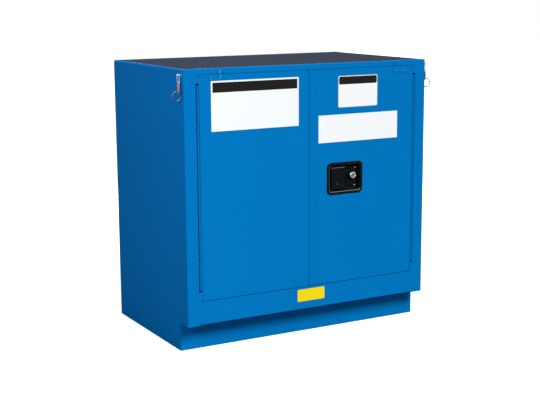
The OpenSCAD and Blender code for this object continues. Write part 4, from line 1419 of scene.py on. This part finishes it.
        # The keyway slit is a block of painted shade.
        slit = brick(at(x - 0.8, 0.9, z - 4.5), at(x + 0.8, 4.0, z + 4.5), 0.2)
        merge(slit, brick(at(x - 1.6, 0.95, z + 1.2), at(x + 1.6, 4.0, z + 2.6), 0.2))
        Piece("keyway", "key_plug", Finish.SHADOW, "black_latch").make(slit)

    def screws(self) -> None:
        """Adds the two screws that hold the lock housing."""
        spots = [at(self.lock_x + x, self.foot_y, self.z + z) for x, z in self.screw_spots]
        made = stamp(lambda: pan_screw(3.0, 1.6), spots)
        Piece("housing_screws", "right_door", Finish.ZINC, "zinc_plate").make(made)

    def spring(self) -> None:
        """Winds the paddle's return spring round its pin from smooth wire."""
        turns = 6.5
        bm = shift(coil(2.8, 0.4, 1.6 * turns, turns), at(self.pin_x, self.pin_y, self.z + 8))
        Piece("return_spring", "right_door", Finish.STEEL, "bright_steel", ("paddle_spring",)).make(bm)


TRAY = LatchTray()


# ---------- studio


def heading(way: Vector) -> Euler:
    """The turn that points a lamp along a direction."""
    return way.to_track_quat("-Z", "Y").to_euler()


@dataclass
class Studio:
    """Floor, light and camera."""

    eye: Triple = (-1.8894, -3.4146, 1.1259)
    yaw: float = 28.99
    pitch: float = -10.67
    roll: float = -0.36
    focal_px: float = 1152.8
    picture_w: float = 540.0
    sky: float = 0.28
    sun: float = 2.8
    floor_wide: float = 28.0
    key_softness: float = 20.0
    key_way: Triple = (-0.15, 0.72, -0.68)
    bounce: float = 0.25
    lift: float = 0.7

    def build(self) -> None:
        """Sets the colour management, the world, the lamps, the floor and the camera."""
        bpy.context.scene.view_settings.view_transform = "Standard"
        self.world()
        self.floor()
        self.lamps()
        self.camera()

    def world(self) -> None:
        """Gives the world an even soft light, which the camera and mirrors see as white."""
        world = bpy.data.worlds.new("studio")
        bpy.context.scene.world = world
        bench = Bench(world, "Background")
        seen: Any = 0.0
        for ray in ("Is Camera Ray", "Is Glossy Ray", "Is Transmission Ray"):
            path = bench.add("ShaderNodeLightPath", {}, {}, ray)
            seen = bench.add("ShaderNodeMath", {"operation": "MAXIMUM"}, {0: seen, 1: path})
        bench.set(Color=(1.0, 1.0, 1.0, 1.0), Strength=seen.span(0.0, 1.0, self.sky, 1.0))

    def floor(self) -> None:
        """Lays a wide floor that the camera sees as white, with the cabinet's shadow on it."""
        floor = settle("floor", blank(self.floor_wide, self.floor_wide))
        bench = Bench(bpy.data.materials.new("pale_floor"))
        cloud = bench.noise(bench.place(), 1.4, 3.0)
        seen = bench.add("ShaderNodeLightPath", {}, {}, "Is Camera Ray")
        pale = bench.blend(cloud, (0.90, 0.90, 0.90, 1.0), (0.92, 0.92, 0.92, 1.0))
        bench.set(
            Base_Color=bench.blend(seen, (self.bounce, self.bounce, self.bounce, 1.0), pale),
            Roughness=0.9,
            Specular_IOR_Level=0.0,
            Emission_Color=bench.blend(seen, (0.0, 0.0, 0.0, 1.0), (self.lift, self.lift, self.lift, 1.0)),
            Emission_Strength=1.0,
        )
        floor.data.materials.append(bench.owner)

    def lamps(self) -> None:
        """Hangs a soft sun for the front and soft lamps for the left side and the back."""
        light = bpy.data.lights.new("key", "SUN")
        light.energy = self.sun
        light.angle = math.radians(self.key_softness)
        show("key", light).rotation_euler = heading(Vector(self.key_way))
        self.lamp("back_fill", (0.9, 2.6, 0.75), (0.1, 0.28, 0.45), 1.2, 34.0, (1.0, 1.0, 1.0))
        self.lamp("fill", (-1.9, -0.95, 1.45), (-0.44, -0.1, 0.6), 0.9, 17.0, (0.5, 0.8, 1.0))

    def lamp(self, name: str, spot: Triple, aim: Triple, size: float, power: float, colour: Colour) -> None:
        """Hangs one square lamp.

        Args:
            name: Its name.
            spot: Where it hangs.
            aim: What it points at.
            size: Length of a side in metres.
            power: Watts.
            colour: Colour of its light.
        """
        light = bpy.data.lights.new(name, "AREA")
        light.shape = "SQUARE"
        light.size = size
        light.energy = power
        light.color = colour
        lamp = show(name, light)
        lamp.location = spot
        lamp.rotation_euler = heading(Vector(aim) - Vector(spot))

    def camera(self) -> None:
        """Stands the camera where the photograph was taken."""
        yaw, pitch, roll = (math.radians(v) for v in (self.yaw, self.pitch, self.roll))
        ahead = Vector((math.sin(yaw) * math.cos(pitch), math.cos(yaw) * math.cos(pitch), math.sin(pitch)))
        level = Vector((math.cos(yaw), -math.sin(yaw), 0.0))
        up = level.cross(ahead)
        right = math.cos(roll) * level + math.sin(roll) * up
        up = right.cross(ahead)
        data = bpy.data.cameras.new("camera")
        data.sensor_fit = "HORIZONTAL"
        data.sensor_width = 36.0
        data.lens = self.focal_px / self.picture_w * data.sensor_width
        data.clip_start = 0.05
        data.clip_end = 60.0
        camera = show("camera", data)
        camera.matrix_world = Matrix.Translation(self.eye) @ Matrix((right, up, -ahead)).transposed().to_4x4()
        bpy.context.scene.camera = camera


PLATES = (
    FilmPlate("wide_plate", "left_door", -354, -46.5, 696, 850, band=(814.5, 845), inset=5),
    FilmPlate(
        "small_plate", "right_door", 100.7, 252.4, 744.6, 847,
        corner=5, edge=Finish.TAN_FILM, band=(819, 844), inset=3,
    ),
    FilmPlate("long_plate", "right_door", 27, 332.6, 634, 723),
    FilmPlate("sill_plate", "carcass", -51.7, 50.8, 119, 159, film=Finish.YELLOW_FILM, corner=4),
)

NODE_FINISH = {
    "hinge_pin_left": Finish.DARK_STEEL,
    "hinge_pin_right": Finish.DARK_STEEL,
    "paddle_pin": Finish.DARK_STEEL,
    "chain_ring_left": Finish.RING,
    "chain_ring_right": Finish.RING,
}


def dress_solids() -> None:
    """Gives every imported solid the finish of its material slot."""
    slots = {part["node"]: part["material_slot"] for part in frame["record"]["subparts"]}
    for name, node in frame["nodes"].items():
        finish = NODE_FINISH.get(name, SLOT_FINISH[slots[name]])
        for slot in node.material_slots:
            slot.material = finish.material
        if not node.material_slots:
            node.data.materials.append(finish.material)


def main() -> None:
    """Builds the sub-assemblies in order."""
    logging.basicConfig(level=logging.INFO, format="%(name)s: %(message)s")
    Studio().build()
    dress_solids()
    Carcass().build()
    for side in Side:
        PianoHinge(side).build()
        Door(side).build()
    TRAY.build()
    for plate in PLATES:
        plate.build()


if __name__ == "__main__":
    main()
